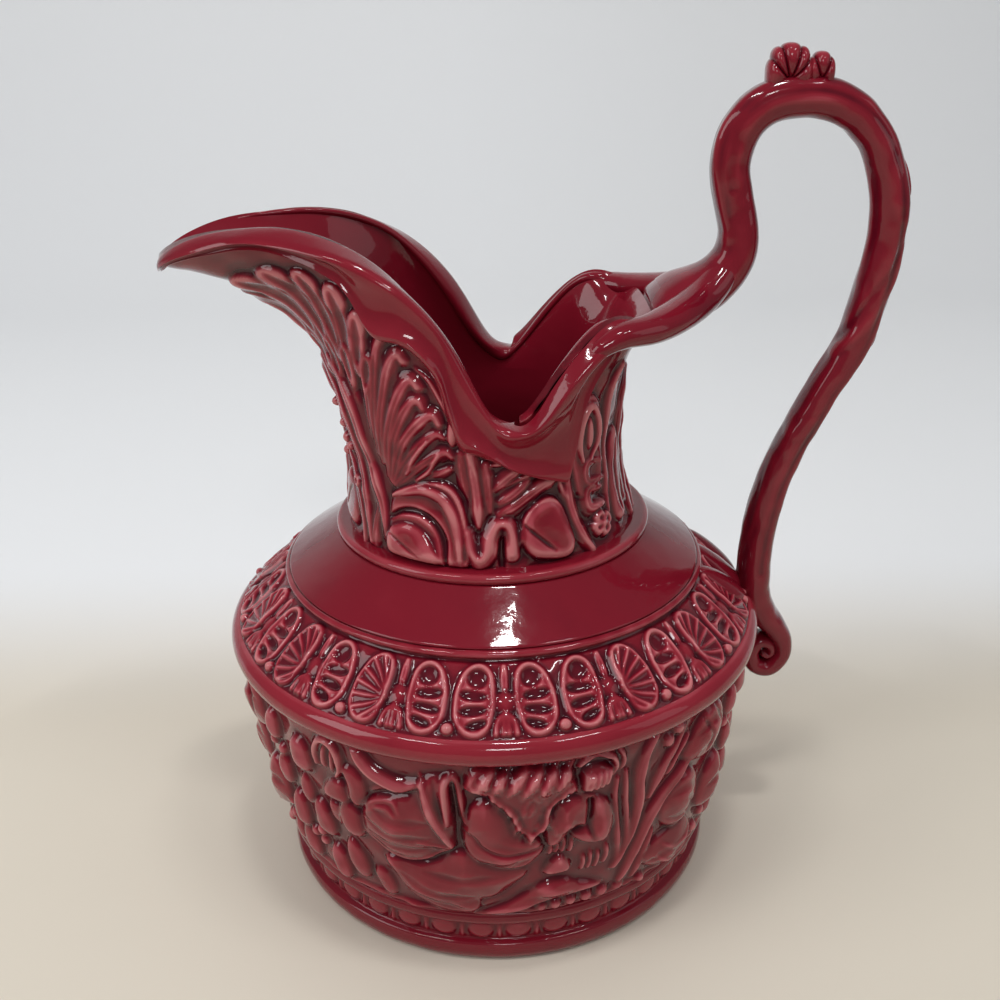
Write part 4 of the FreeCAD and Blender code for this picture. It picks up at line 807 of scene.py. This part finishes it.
neckStrokes = [
    # path, half width, high, how: the scroll's nested edges
    ([(131, 21), (124, 25.6), (117, 28.8), (110, 29.4), (104.2, 27.2), (100.8, 22.2), (99, 15), (98.4, 7),
      (99, 1)], 1.2, 1.3, "on"),
    ([(130, 14.4), (124, 17.6), (117, 18.2), (111, 15.3), (107.4, 9.5), (106.6, 1)], 1.3, 1.7, "cut"),
    ([(129, 22.5), (122, 25), (115, 26.4), (108.6, 24.4), (104.4, 19.4), (102, 12),
      (101.4, 3)], 1.9, 1, "on"),
    ([(130.5, 9.5), (124, 6.5), (116, 2)], 0.5, 0.6, "cut"),
    # stems in the middle, the hooked ribbon and the leaf's edge
    ([(97.4, 40), (96, 32), (95, 24), (94.6, 15)], 1.5, 2.8),
    ([(92, 36), (91.2, 27), (90.4, 20)], 1.2, 2.2), ([(100.6, 40), (99.8, 33), (98.4, 25)], 1.1, 2),
    ([(99, 13), (97.6, 6.4), (94.6, 3.4), (91.8, 6), (90.4, 11.4), (87.6, 15.4), (84, 15.2), (82, 11),
      (82.4, 5)], 2, 3, "wave"),
    ([(77.4, 15), (72, 10), (66, 4.5)], 0.6, 1, "cut"),
    ([(79, 8.5), (78.4, 14), (76, 18.4), (72, 21.8), (66, 23), (61, 19.6), (58, 12),
      (56.8, 5)], 0.8, 0.8, "on"),
    ([(86.5, 23), (81, 26), (75, 30)], 1.5, 2.4), ([(87, 19.2), (79, 22.6), (70.5, 27.6)], 1.5, 2.4),
    ([(88.6, 27.5), (84, 31), (78, 34.6)], 1.3, 2.2), ([(85, 28.5), (78, 31), (71, 33)], 0.9, 1.8),
    ([(75, 24.5), (69, 27.5), (63, 29)], 1.1, 2), ([(90, 36), (84, 36.6), (76, 35.4)], 0.8, 1.4),
    # acanthus fronds with curled tips
    ([(131, 29), (128.5, 42), (125, 53), (121, 61), (118, 63.5), (115.6, 61.5)], 1.9, 2.7),
    ([(130, 28), (126.5, 40), (122.6, 49), (118.5, 55.6), (115.6, 57.1), (113.6, 54.6)], 1.8, 2.7),
    ([(129, 27), (124.5, 37), (119, 45.5), (113, 51.3), (110, 52.3), (108, 49.6)], 1.8, 2.7),
    ([(128, 26.5), (122.5, 34), (116, 41), (109.5, 46.2), (106.2, 45.4)], 1.6, 2.5),
    ([(127, 26), (120.5, 31), (113.5, 36.3), (106.5, 40.3), (103.8, 38.8)], 1.5, 2.4),
    ([(125.5, 25.5), (118.5, 28.8), (111.5, 32), (104.6, 34.5)], 1.2, 2.1),
    ([(118, 29), (112, 34), (108, 40)], 0.7, 1.4, "on"), ([(122, 31), (117, 38), (112, 44)], 0.7, 1, "on"),
    ([(133, 33), (131.5, 46), (129.5, 57), (126.4, 67), (123, 71.5), (120.6, 69.6)], 1.7, 2.5),
    ([(134.6, 36), (134.2, 50), (133, 62), (131, 72), (128.4, 77)], 1.6, 2.4),
    ([(136.4, 42), (137, 54), (137, 66), (136, 76)], 1.5, 2.3),
    ([(116.5, 67.5), (111.4, 63.4), (106.8, 56), (104, 49.5)], 0.55, 1),
    # stems up the spout side
    ([(159, 66), (152.6, 58), (146.6, 49), (142, 38), (137.8, 27), (133.6, 16), (132, 6)], 2.6, 3.4),
    ([(168, 64), (160, 54), (153, 41), (147.6, 28), (144, 15), (141.6, 2)], 2.1, 2.8),
    ([(139.6, 1), (138.4, 10), (136, 18)], 1.2, 2),
    ([(180, 44), (170, 38), (161, 30), (153, 20), (148, 9), (147, 0)], 1.6, 2.3),
    ([(180, 60), (172, 56), (165, 50)], 1.8, 2.4), ([(176, 4), (174, 18), (176, 32)], 1.8, 2.4),
    ([(166, 8), (162, 14), (157, 18)], 0.6, 0.8, "cut"),
    # strapwork and stems towards the handle
    ([(57.6, 30), (56.6, 18), (53, 8), (49, 1)], 1.4, 2.5), ([(61.4, 29), (59.6, 24), (57, 20)], 1, 1.8),
    ([(49.4, 33), (52, 40), (50.6, 48), (46, 52), (42, 47), (41.4, 39), (44.6, 33)], 1.5, 1.5, "on"),
    ([(36.6, 24), (46.5, 25), (46.5, 31.4), (36.6, 30.6)], 1.5, 2.5),
    ([(37.4, 14.6), (46.5, 15.6), (46.5, 21.8), (37.4, 20.8)], 1.5, 2.5),
    ([(34.5, 10), (33.6, 24), (34.4, 40), (32, 54), (27, 64)], 1.1, 2.4),
    ([(52, 54), (47, 60), (42, 65), (36, 70)], 1, 1.8), ([(25, 8), (26, 22), (25, 36)], 0.6, 0.9, "cut"),
    ([(12, 2), (12.6, 20), (10, 36), (5, 48)], 1.8, 2.5), ([(6, 2), (5, 16), (0, 30)], 1.7, 2.4),
    ([(16, 10), (18, 28), (15, 46), (9, 58)], 1.5, 2.2)]
blades = {
    # width share, high share and width shares at the ends; a broad blade lies under a narrower one
    "blade": [(2.5, 0.6, (0.6, 0.5)), (1.25, 1, (0.55, 0.45))], "groove": (0.5, 0.55, "cut", (0.6, 0.3)),
    "wave": [(1.7, 0.75, (0.8, 0.8)), (1, 1, (0.8, 0.8))], "ends": (0.55, 0.45)}
for path, wide, high, *how in neckStrokes:
    how = how[0] if how else "over"
    kind = "blade" if how == "over" and wide > 1 else how
    for wideShare, highShare, ends in blades.get(kind, [(1, 1, blades["ends"])]):
        neckSheet.stroke(path, wide * wideShare, high * highShare, "over" if how == "wave" else how, ends)
    if kind == "blade":
        neckSheet.stroke(path, *blades["groove"])
neckDomes = [
    # turn, rise, half width, half height, high, tilt, how: a hollow by the hooked ribbon and two drops
    (86.4, 4.5, 1.3, 6.5, 1.6, 0, "cut"), (103, 47.5, 1.9, 5.4, 2.8, -4), (46.6, 42.4, 1.8, 6, 1.6, 4, "on"),
    # buds, the last one with an eye
    (164, 34, 2.5, 2.5, 3.2), (160, 41, 2.2, 2.2, 3.2), (168, 28, 2.4, 2.4, 3.2), (171, 46, 2.2, 2.2, 3.2),
    (157, 33, 2, 2, 3.2), (139, 31, 1.8, 1.8, 3.2), (152.6, 21, 2.9, 2.9, 3.2),
    (152.6, 21, 1, 1, 2.2, 0, "cut")]
for dome in neckDomes:
    neckSheet.dome(*dome)
rosette = {
    "centre": (41, 8), "petals": 4, "across": 5, "up": 3.6, "spread": 0.9,
    "petal": (1.4, 2.4), "eye": (1.3, 1.3, 3)}
for k in range(rosette["petals"]):
    lean = math.radians(45 + 360 / rosette["petals"] * k)
    turn, rise = rosette["centre"]
    petal = [(turn + rosette["across"] * math.cos(a), rise + rosette["up"] * math.sin(a))
             for a in (lean, lean + rosette["spread"])]
    neckSheet.stroke([rosette["centre"], *petal, rosette["centre"]], *rosette["petal"])
neckSheet.dome(*rosette["centre"], *rosette["eye"])


def spoutPetal(base, tip, wide):
    # a long rounded petal with a raised tip and a sunk middle
    dx, dy = (tip[0] - base[0]) * neckSheet.perTurn, tip[1] - base[1]
    tilt = math.degrees(math.atan2(dx, dy))
    middle = ((base[0] + tip[0]) / 2, (base[1] + tip[1]) / 2)
    length = math.hypot(dx, dy) / 2
    neckSheet.dome(*middle, wide, length, 2.4, tilt, flat=3)
    neckSheet.dome(tip[0] - dx * 0.16, tip[1] - dy * 0.15, wide * 1.15, wide * 1.7, 2.5, tilt, "over", 3)
    neckSheet.dome(middle[0] + dx * 0.1, middle[1] + dy * 0.12, wide * 0.55, length * 0.72, 0.9, tilt, "cut")


for base, tip, wide in (
        ((140, 60), (137.4, 83), 3.2), ((143.5, 60), (144.6, 92), 3.7), ((148, 62), (154.5, 98), 3.8),
        ((152.5, 63), (164.5, 102.5), 3.9), ((158, 64), (174, 105), 3.9), ((164, 66), (181, 99), 3.8),
        ((137.6, 55), (135, 69), 2.6), ((144.6, 56), (146, 71), 2.9), ((151, 57), (156, 73), 2.8),
        ((158, 58), (167, 74), 2.8)):
    spoutPetal(base, tip, wide)
neckSheet.finish(*neck["finish"])


def wallRows(levels):
    # wall points, outward normals and the run up the wall at each level
    points = wallPoint(wallTurns, levels[:, None])
    run = np.stack([np.interp(levels, tableLevels, column) for column in wallRun.T], 1)
    return points, -gridNormals(points, False, True), run


skins = {"outerRows": (96, 120), "innerRows": (13, 33), "lipFade": 12, "innerShare": 0.9}
neckRows, mouthRows = skins["outerRows"]
levels = np.concatenate([np.linspace(-1, 0, neckRows), np.linspace(0, 1, mouthRows)[1:]])
points, normals, run = wallRows(levels)
lift, crest = neckSheet.read(mirrored + 0 * run, run)
outerSkin = points + normals * lift[..., None] * np.clip((1 - levels) * skins["lipFade"], 0, 1)[:, None, None]
outerNormals = -gridNormals(outerSkin, False, True)
innerNeckRows, innerMouthRows = skins["innerRows"]
levels = np.concatenate([np.linspace(-1, 0, innerNeckRows), np.linspace(0, 1, innerMouthRows)[1:]])
points, normals, run = wallRows(levels)
mix = np.clip(levels * 2, 0, 1)[:, None, None]
flat = points * np.array([1, 1, 0])
inset = points - flat / np.linalg.norm(flat, axis=-1, keepdims=True) * neck["wall"]
innerSkin = inset * (1 - mix) + (points - normals * neck["wall"] * skins["innerShare"]) * mix
innerNormals = gridNormals(innerSkin, False, True)


def wallPiece(name, outerRows, innerRows, nodes):
    rows = np.concatenate([outerSkin[outerRows], innerSkin[innerRows][::-1]])
    marks = np.concatenate([crest[outerRows], 0 * innerSkin[innerRows][..., 0]])
    normals = np.concatenate([outerNormals[outerRows], innerNormals[innerRows][::-1]])
    gridPiece(name, rows, marks, nodes, True, normals)


wallPiece("neckRelief", slice(0, neckRows), slice(0, innerNeckRows), (
    "neck_wall", "neck_scrolls", "neck_acanthus", "neck_cartouches", "neck_rosettes"))
wallPiece("mouthShell", slice(neckRows - 1, None), slice(innerNeckRows - 1, None), (
    "mouth_wall", "pouring_spout", "spout_petals"))
print("neck and mouth made")

# lip collar

collar = {
    # turn, how far the collar comes down below the lip in mm
    "drops": [
        (0, 2), (14, 2), (24, 2.4), (30, 3.6), (40, 8), (50, 13), (54.5, 18), (57.2, 27), (60, 36),
        (62, 33.6), (64, 31), (66, 28.6), (68, 26.2), (70, 24), (72, 21.9), (74, 19.8), (76, 17.9),
        (78, 16.2), (80, 14.8), (82, 13.7), (84, 13.1), (86, 13.1), (88, 13.7), (90, 14.9), (92, 16.4),
        (94, 18.2), (96, 20.4), (98, 22.8), (100, 25.3), (102, 26.2), (104, 25.1), (106, 22.1), (108, 17.8),
        (110, 16.2), (112, 16.2), (114, 16.4), (116, 16.8), (118, 17.4), (120, 18.4), (122, 19.6),
        (124, 21.2), (126, 22.6), (128, 23.8), (130, 24), (131.5, 23), (133, 20), (134.5, 16), (136.6, 12),
        (142, 9.6), (150, 8), (163, 5.4), (172, 2.8), (180, 1.4)],
    # drop share, drop in mm, outward in mm
    "section": [
        (1, -1, -0.6), (1, 0.2, 1.2), (1, 0, 2.9), (1, -0.8, 4.6), (0.95, -0.9, 5.3), (0.86, 0, 5.2),
        (0.72, 0, 4.1), (0.5, 0, 3.5), (0.33, 0, 4.2), (0.2, 0, 5.3), (0.1, 0, 5.6), (0.03, 0, 5),
        (0, -0.5, 3.8), (0, -0.9, 2.2), (0, -1, 0.2), (0, -0.9, -2), (0, -0.4, -4), (0, 0.8, -5.2),
        (0, 2.4, -5.6), (0, 4, -5), (0, 5, -3.4), (0.5, 1, -1.6)],
    # turn and the section's share there, outward and in height: less at the handle and at the spout's tip
    "swells": [(0, 0.3), (24, 0.34), (44, 1), (140, 1), (163, 0.72), (174, 0.42), (180, 0.3)],
    "heights": [(0, 1), (160, 1), (180, 0.5)],
    "step": 0.1, "probes": 9, "probeReach": 15, "tipRound": 3.3, "tipRoom": 0.1,
    # thin glaze and a painted highlight on the roll's crown: how far out, how wide, how strong; and along the
    # lower edge
    "crownGlazeAndHighlight": (5, 1.6, 0.16), "edgeGlazeAndHighlight": (0.01, 0.2)}


def byTurn(table):
    return np.interp(mirrored, *np.array(table).T)


def runLevel(runs):
    return np.stack([np.interp(runs[:, c], wallRun[:, c], tableLevels) for c in range(len(wallTurns))], 1)


drops = byTurn(collar["drops"])
drops = (np.roll(drops, 1) + np.roll(drops, -1) + drops) / 3
lipRun = wallRun[-1]
# one way outward for the whole section at each turn, from the wall behind it
reach = np.minimum(drops, collar["probeReach"])
probe = runLevel(lipRun - np.linspace(0, 1, collar["probes"])[:, None] * reach)
around = wallPoint(wallTurns + 0.5, probe) - wallPoint(wallTurns - 0.5, probe)
upper = np.minimum(probe + 0.01, 1)
ways = np.cross(wallPoint(wallTurns, upper) - wallPoint(wallTurns, upper - 0.02), around)
way = (ways / np.maximum(np.linalg.norm(ways, axis=-1, keepdims=True), 1e-9)).sum(0)
way = sum(np.roll(way, k, 0) for k in range(-4, 5))
way /= np.linalg.norm(way, axis=-1, keepdims=True)
if way[180, 1] > 0:
    way = -way
ringRows = smoothPath(collar["section"], True, collar["step"])
stretch = ringRows[:, :1] * drops + ringRows[:, 1:2] * byTurn(collar["heights"])
lipWay = wallPoint(wallTurns, 1) - wallPoint(wallTurns, 0.97)
lipWay /= np.linalg.norm(lipWay, axis=-1, keepdims=True)
collarPoints = wallPoint(wallTurns, runLevel(lipRun - np.maximum(stretch, 0)))
collarPoints = collarPoints + lipWay * np.maximum(-stretch, 0)[..., None]
collarPoints = collarPoints + way * ringRows[:, 2:3, None] * byTurn(collar["swells"])[:, None]
# the tip rounds off inside the jug's own length
beyond = np.maximum(cadLow.x / mm + collar["tipRound"] + collar["tipRoom"] - collarPoints[..., 0], 0)
collarPoints[..., 0] += beyond - collar["tipRound"] * np.tanh(beyond / collar["tipRound"])
# painted highlight with thin glaze on the crown and along the lower edge
out, wide, strong = collar["crownGlazeAndHighlight"]
glazeAndHighlight = np.exp(-((ringRows[:, 2:] - out) / wide) ** 2) * strong
wide, strong = collar["edgeGlazeAndHighlight"]
glazeAndHighlight = glazeAndHighlight + np.exp(-(ringRows[:, :1] - 1) ** 2 / wide) * strong
gridPiece("lipCollar", collarPoints, glazeAndHighlight + 0 * stretch, ("lip_collar_right", "lip_collar_left"))
print("lip collar made")

# handle

strap = {
    "bulge": 85.6, "top": 286.4, "landing": 107, "landingReach": 101.2, "mouthBack": 57, "backShare": 0.9,
    "thickness": 10, "width": 14, "squareness": 0.86, "barkShare": 0.8,
    "around": 72, "step": 0.8, "leastStep": 0.2,
    # painted light on the strap's front and back faces and painted shade on its inner and outer faces
    "paintedLight": 0.1, "paintedShade": 0.34,
    # outward, rise, thickness share, width share
    "rowShares": [
        (0.05, 0.600, 1, 2.6), (0.07, 0.602, 1.3, 2.8), (0.10, 0.608, 1.6, 2.8), (0.14, 0.618, 1.78, 2.6),
        (0.183, 0.631, 1.85, 2.25), (0.305, 0.660, 1.66, 1.55), (0.388, 0.705, 1.46, 1.3),
        (0.405, 0.760, 1.35, 1.15), (0.377, 0.820, 1.33, 1.05), (0.355, 0.881, 1.33, 1),
        (0.387, 0.943, 1.35, 1), (0.480, 0.988, 1.36, 1), (0.614, 1, 1.32, 1), (0.735, 0.992, 1.32, 1),
        (0.845, 0.962, 1.27, 1), (0.930, 0.912, 1.2, 1), (0.988, 0.836, 1.18, 1), (1, 0.740, 1.18, 1),
        (0.954, 0.615, 1.18, 1), (0.835, 0.530, 1.15, 1), (0.598, 0.414, 1.12, 1),
        (0.328, 0.269, 1.1, 1.05), (0.141, 0.134, 1.15, 1.1), (0.030, 0.030, 1.2, 1.2)],
    # tail and scroll: x, z, half thickness, half width
    "tail": [
        (101.9, 103.2, 6.1, 8.4), (105.6, 95, 5.6, 8), (110.8, 88.2, 4.8, 7.2), (114.2, 82, 4.2, 6.6),
        (114.2, 75.4, 4.1, 6.4), (109.8, 69.8, 4, 6.2), (104.4, 70.9, 3.8, 6), (102.3, 76.8, 3.5, 5.8),
        (105.4, 81.6, 3, 5.5), (109.4, 80.6, 2.6, 5.2), (110.4, 77.2, 2.3, 4.9), (108.6, 75.6, 2.1, 4.7),
        (106.9, 76.8, 1.9, 4.4)]}

middleOfLip = neck["top"] + neck["rise"] / 2
spine = []
for out, rise, thick, wide in strap["rowShares"]:
    z = strap["landing"] + rise * (strap["top"] - strap["landing"])
    climb = min(max((z - strap["landing"]) / (middleOfLip - strap["landing"]), 0), 1)
    back = strap["landingReach"] + (strap["backShare"] * strap["mouthBack"] - strap["landingReach"]) * climb
    spine.append((back + out * strap["bulge"], z, thick * strap["thickness"] / 2, wide * strap["width"] / 2))
spine = smoothPath(spine + strap["tail"], False, strap["step"])
far = np.linalg.norm(np.diff(spine[:, :2], axis=0), axis=1) > strap["leastStep"]
spine = spine[np.append(True, far)]
run = runAlong(spine[:, :2])
ahead = np.gradient(spine[:, :2], axis=0)
ahead /= np.linalg.norm(ahead, axis=1, keepdims=True)
sideways = np.stack([ahead[:, 1], -ahead[:, 0]], -1)

# bark: long soft ridges, two seams, joints with raised rings and one fold
bark = {
    "perTurn": 0.11, "cell": 0.5, "finish": (0.6, 0.1, 0.8), "seam": (1.3, 0.55, "cut"),
    "joint": (3.4, 0.35, "on", (0.1, 0.1)), "ridges": 26, "seams": (70, 250),
    "joints": (96, 150, 232, 300, 338, 392, 432), "foldShare": 0.488,
    "foldPath": [(190, -22), (240, -7), (290, 7), (345, 18)],
    "folds": [(0, 2.6, 0.5, "cut"), (6, 3, 0.6, "on")]}
barkSheet = ReliefSheet(0, 360, 0, run[-1] + 1, bark["perTurn"], True, bark["cell"])
for k in range(bark["ridges"]):
    turn, start = rng.uniform(0, 360), rng.uniform(20, run[-1] - 120)
    path = [(turn + rng.uniform(-16, 16), start + t) for t in (0, 18, 38, 60)]
    barkSheet.stroke(path, rng.uniform(1.2, 2.4), rng.uniform(0.25, 0.5), "on", (0.2, 0.2))
for turn in bark["seams"]:
    seam = [(turn + 14 * math.sin(t / 40), t) for t in range(60, int(run[-1]) - 70, 14)]
    barkSheet.stroke(seam, *bark["seam"])
for k, place in enumerate(bark["joints"]):
    joint = [(50 + 97 * k + t, place + 9 * math.sin(math.radians(t * 1.3))) for t in range(0, 150, 25)]
    barkSheet.stroke(joint, *bark["joint"])
for drop, *rib in bark["folds"]:
    fold = [(t, bark["foldShare"] * run[-1] + up + drop) for t, up in bark["foldPath"]]
    barkSheet.stroke(fold, *rib)
barkSheet.finish(*bark["finish"])


def rounded(wave, power):
    return np.sign(wave) * np.abs(wave) ** power


around = np.arange(strap["around"])[:, None] * 360 / strap["around"]
lift, crest = barkSheet.read(around + 0 * run, run + 0 * around)
around = np.radians(around)
# painted shade on the inner and outer faces of the strap, painted light on its front and back
crest = crest + strap["paintedLight"] - strap["paintedShade"] * np.cos(around) ** 2
thick = rounded(np.cos(around), strap["squareness"]) * (spine[:, 2] + lift * strap["barkShare"])
wide = rounded(np.sin(around), strap["squareness"]) * (spine[:, 3] + lift * strap["barkShare"])
handlePoints = np.stack([
    spine[:, 0] + thick * sideways[:, 0], wide, spine[:, 1] + thick * sideways[:, 1]], -1)
gridPiece("handleBranch", handlePoints, crest, ("handle_strap", "handle_tail"), False)

# thumb rest: two scalloped fans

shells = {
    # name, start, half width, height, ribs
    "fans": [("thumbShellFront", 10.4, 7.5, 11.2, 5), ("thumbShellBack", 20.6, 4.6, 8.4, 3)],
    "deep": 5.4, "spread": 100, "sunk": 1.4, "room": 0.15, "stepsPerRib": 40, "fullHeight": 11.2}
shellLow, shellHigh = (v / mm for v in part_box("handle_shells"))
shellFoot = (spine[:, 1] + spine[:, 2]).max() - shells["sunk"]
for name, start, wide, tall, ribs in shells["fans"]:
    lean = np.linspace(-1, 1, shells["stepsPerRib"] * ribs + 1)[None, :]
    fan = np.radians(lean * shells["spread"])
    rib = np.abs(np.sin(np.pi * (lean + 1) / 2 * ribs)) ** 0.6
    around = np.radians(np.arange(0, 360, 10))[:, None]
    out = (0.5 + 0.5 * np.cos(around)) * (0.9 + 0.1 * rib)
    deep = shells["deep"] * (0.6 + 0.4 * tall / shells["fullHeight"])
    through = rounded(np.sin(around), 0.8) * (0.7 + 0.3 * rib) * deep
    tip = min(tall, shellHigh.z - shells["room"] - shellFoot)
    fanPoints = np.stack([
        shellLow.x + start + out ** 0.8 * rounded(np.sin(fan), 0.75) * wide, through + 0 * fan,
        shellFoot + out * rounded(np.cos(fan), 0.7) * tip], -1)
    fanMarks = 0.45 * rib * np.clip(out * 1.6 - 0.5, 0, 1) - 0.45 * (1 - rib)
    gridPiece(name, fanPoints, fanMarks, ("handle_shells",), False)

# each side of the lip runs up into the handle as a broad rounded ribbon

ribbon = {
    # x, y, z, radius
    "path": [(30, -43.4, 210, 2.6), (36, -41.2, 214.5, 3.6), (43, -38, 217.4, 4.7), (53.5, -31, 217.8, 5.6),
             (63, -21.5, 219.4, 6.1), (72, -11, 222.6, 6.3), (79.5, -4.6, 229, 5.7), (83.6, -1.4, 237, 4.3),
             (85.4, 0, 246, 2.6)],
    "step": 0.8, "wideShare": 1.15, "tallShare": 0.9, "endSteps": 6, "crest": -0.12}
for name, side in (("handleArmRight", 1), ("handleArmLeft", -1)):
    path = smoothPath(np.array(ribbon["path"]) * (1, side, 1, 1), False, ribbon["step"])
    along = np.gradient(path[:, :3], axis=0)
    along /= np.linalg.norm(along, axis=1, keepdims=True)
    across = np.cross(along, [0, 0, 1])
    across /= np.linalg.norm(across, axis=1, keepdims=True)
    over = np.cross(across, along)
    spin = np.radians(np.arange(0, 360, 7.5))[:, None, None]
    ends = np.sqrt(np.clip(np.arange(len(path)) / ribbon["endSteps"], 0.05, 1))[:, None]
    reach = np.cos(spin) * across * ribbon["wideShare"] + np.sin(spin) * over * ribbon["tallShare"]
    armPoints = path[:, :3] + path[:, 3:] * ends * reach
    gridPiece(name, armPoints, ribbon["crest"] + 0 * armPoints[..., 0], ("handle_strap",), False)

# the stubs where side shoots were cut, as two lumps in one mesh

knots = {
    # share of the handle's run, half length
    "places": [(0.389, 7), (0.527, 4.5)],
    "wide": 2.3, "tall": 1.5, "sunk": 0.2, "lean": 0.5, "rows": 20, "cols": 32, "poleGap": 0.04}
rows, cols = knots["rows"], knots["cols"]
pole = math.pi / 2 - knots["poleGap"]
lat = np.linspace(-pole, pole, rows)[:, None]
lon = np.arange(cols) * 2 * math.pi / cols
ball = np.stack([np.cos(lat) * np.cos(lon), np.cos(lat) * np.sin(lon), np.sin(lat) + 0 * lon], -1)
index = np.arange(rows * cols).reshape(rows, cols)
right = np.roll(index, -1, 1)
ballFaces = np.stack([index[:-1], right[:-1], right[1:], index[1:]], -1).reshape(-1, 4).tolist()
ballFaces += [index[0, ::-1].tolist(), index[-1].tolist()]
verts, faces = [], []
for k, (share, length) in enumerate(knots["places"]):
    i = int(np.searchsorted(run, share * run[-1]))
    out = -np.array([sideways[i, 0], 0, sideways[i, 1]])  # towards the outer side of the loop
    along = np.array([ahead[i, 0], 0, ahead[i, 1]])
    centre = np.array([spine[i, 0], 0, spine[i, 1]]) + out * (spine[i, 2] - knots["sunk"])
    axes = np.array([along * length + out * knots["lean"], (0, knots["wide"], 0), out * knots["tall"]])
    verts.append((centre + ball @ axes).reshape(-1, 3))
    faces += [[v + k * rows * cols for v in face] for face in ballFaces]
knotMesh = bpy.data.meshes.new("handleKnots")
knotMesh.from_pydata((np.concatenate(verts) * mm).tolist(), [], faces)
knotMarks = np.clip(ball[..., 2], -0.2, 1) * 0.35
dress("handleKnots", knotMesh, np.concatenate([knotMarks] * len(verts)), ("handle_twigs",))
print("handle made")

# the CAD nodes that stay: glaze all over, with bare clay under the floor

for name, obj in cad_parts.items():
    obj.data.materials.clear()
    obj.data.materials.append(glaze)
    if name == "floor_disc":
        obj.data.materials.append(clay)
        for face in obj.data.polygons:
            face.material_index = int(face.normal.z < -0.5)

# stage, light and camera

sheet = {
    "floor": (0.69, 0.63, 0.53), "wall": (0.84, 0.85, 0.86), "shade": (0.25, 0.24, 0.2, 1),
    "tintFrom": 0.06, "tintTo": 0.24, "shadeFrom": -0.05, "shadeTo": 0.3, "shadeMost": 0.07, "roughness": 0.7,
    "half": 3, "front": -3, "back": 0.9, "bend": 0.5, "top": 3}
paper = bpy.data.materials.new("paper")
paper.use_nodes = True
tree = paper.node_tree
coords = node(tree, "ShaderNodeTexCoord").outputs["Object"]
place = node(tree, "ShaderNodeSeparateXYZ", {0: coords}).outputs
depth = node(tree, "ShaderNodeMapRange", {
    "From Min": sheet["tintFrom"], "From Max": sheet["tintTo"], "Value": place["Y"]}).outputs[0]
# the paper lies in more shade on the right
across = node(tree, "ShaderNodeMapRange", {
    "From Min": sheet["shadeFrom"], "From Max": sheet["shadeTo"], "To Min": 0, "To Max": sheet["shadeMost"],
    "Value": place["X"]}).outputs[0]
tint = ramp(tree, depth, [(0, sheet["floor"]), (1, sheet["wall"])])
shaded = node(tree, "ShaderNodeMix", data_type="RGBA", blend_type="MULTIPLY")
for number, source in ((0, across), (6, tint)):
    tree.links.new(source, shaded.inputs[number])
shaded.inputs[7].default_value = sheet["shade"]
paperShader = tree.nodes["Principled BSDF"].inputs
paperShader["Roughness"].default_value = sheet["roughness"]
tree.links.new(shaded.outputs[2], paperShader["Base Color"])

sweep = [(sheet["front"], 0), (sheet["back"], 0)]
for a in np.linspace(0.1, math.pi / 2, 16):
    sweep.append((sheet["back"] + sheet["bend"] * math.sin(a), sheet["bend"] * (1 - math.cos(a))))
sweep.append((sheet["back"] + sheet["bend"], sheet["top"]))
verts = [(x, y, z) for y, z in sweep for x in (-sheet["half"], sheet["half"])]
faces = [(2 * i, 2 * i + 1, 2 * i + 3, 2 * i + 2) for i in range(len(sweep) - 1)]
floorMesh = bpy.data.meshes.new("floor")
floorMesh.from_pydata(verts, [], faces)
floorMesh.polygons.foreach_set("use_smooth", [True] * len(faces))
floorMesh.materials.append(paper)
floor = bpy.data.objects.new("floor", floorMesh)
bpy.context.scene.collection.objects.link(floor)

lights = [
    # name, place, look at, size, watts
    ("ceilingPanel", (0.12, -0.34, 2.1), (0, 0, 0.12), (0.24, 0.10), 6),
    ("windowLeft", (-1.6, -0.7, 1.2), (0, 0, 0.15), (0.9, 1.2), 11),
    ("windowRight", (1.5, -0.6, 0.9), (0, 0, 0.15), (0.7, 1.1), 1.6),
    ("windowFront", (0.1, -1.7, 1.4), (0, 0, 0.15), (0.4, 0.26), 6),
    ("stripLeft", (-0.75, -0.7, 2), (0, 0, 0.15), (0.5, 0.05), 4.5),
    ("stripRight", (0.8, -0.6, 2), (0, 0, 0.15), (0.5, 0.05), 4.5),
    ("ceilingWash", (0, -0.2, 2.2), (0, 0, 0.1), (1.8, 1.6), 13)]
for name, place, aim, size, watts in lights:
    data = bpy.data.lights.new(name, "AREA")
    data.shape = "RECTANGLE"
    data.size, data.size_y = size
    data.energy = watts
    lamp = bpy.data.objects.new(name, data)
    lamp.location = place
    lamp.visible_glossy = name != "ceilingWash"  # the wash lights without showing in the glaze
    lamp.rotation_euler = (Vector(aim) - Vector(place)).to_track_quat("-Z", "Y").to_euler()
    bpy.context.scene.collection.objects.link(lamp)

room = {"colour": (0.80, 0.82, 0.86, 1), "strength": 0.22}
world = bpy.data.worlds.new("room")
world.use_nodes = True
air = world.node_tree.nodes["Background"].inputs
air["Color"].default_value = room["colour"]
air["Strength"].default_value = room["strength"]
bpy.context.scene.world = world

view = {"lens": 39.6, "sensor": 36, "place": (0.00288, -0.3814, 0.3112), "pitch": 66.35, "turn": -1.018}
camera = bpy.data.cameras.new("camera")
camera.lens, camera.sensor_width = view["lens"], view["sensor"]
camera.clip_start, camera.clip_end = 0.01, 20
eye = bpy.data.objects.new("camera", camera)
eye.location = view["place"]
eye.rotation_mode = "QUATERNION"
pitch = Quaternion((1, 0, 0), math.radians(view["pitch"]))
eye.rotation_quaternion = pitch @ Quaternion((0, 0, 1), math.radians(view["turn"]))
bpy.context.scene.collection.objects.link(eye)
bpy.context.scene.camera = eye
bpy.context.scene.view_settings.view_transform = "Standard"
print("stage set")
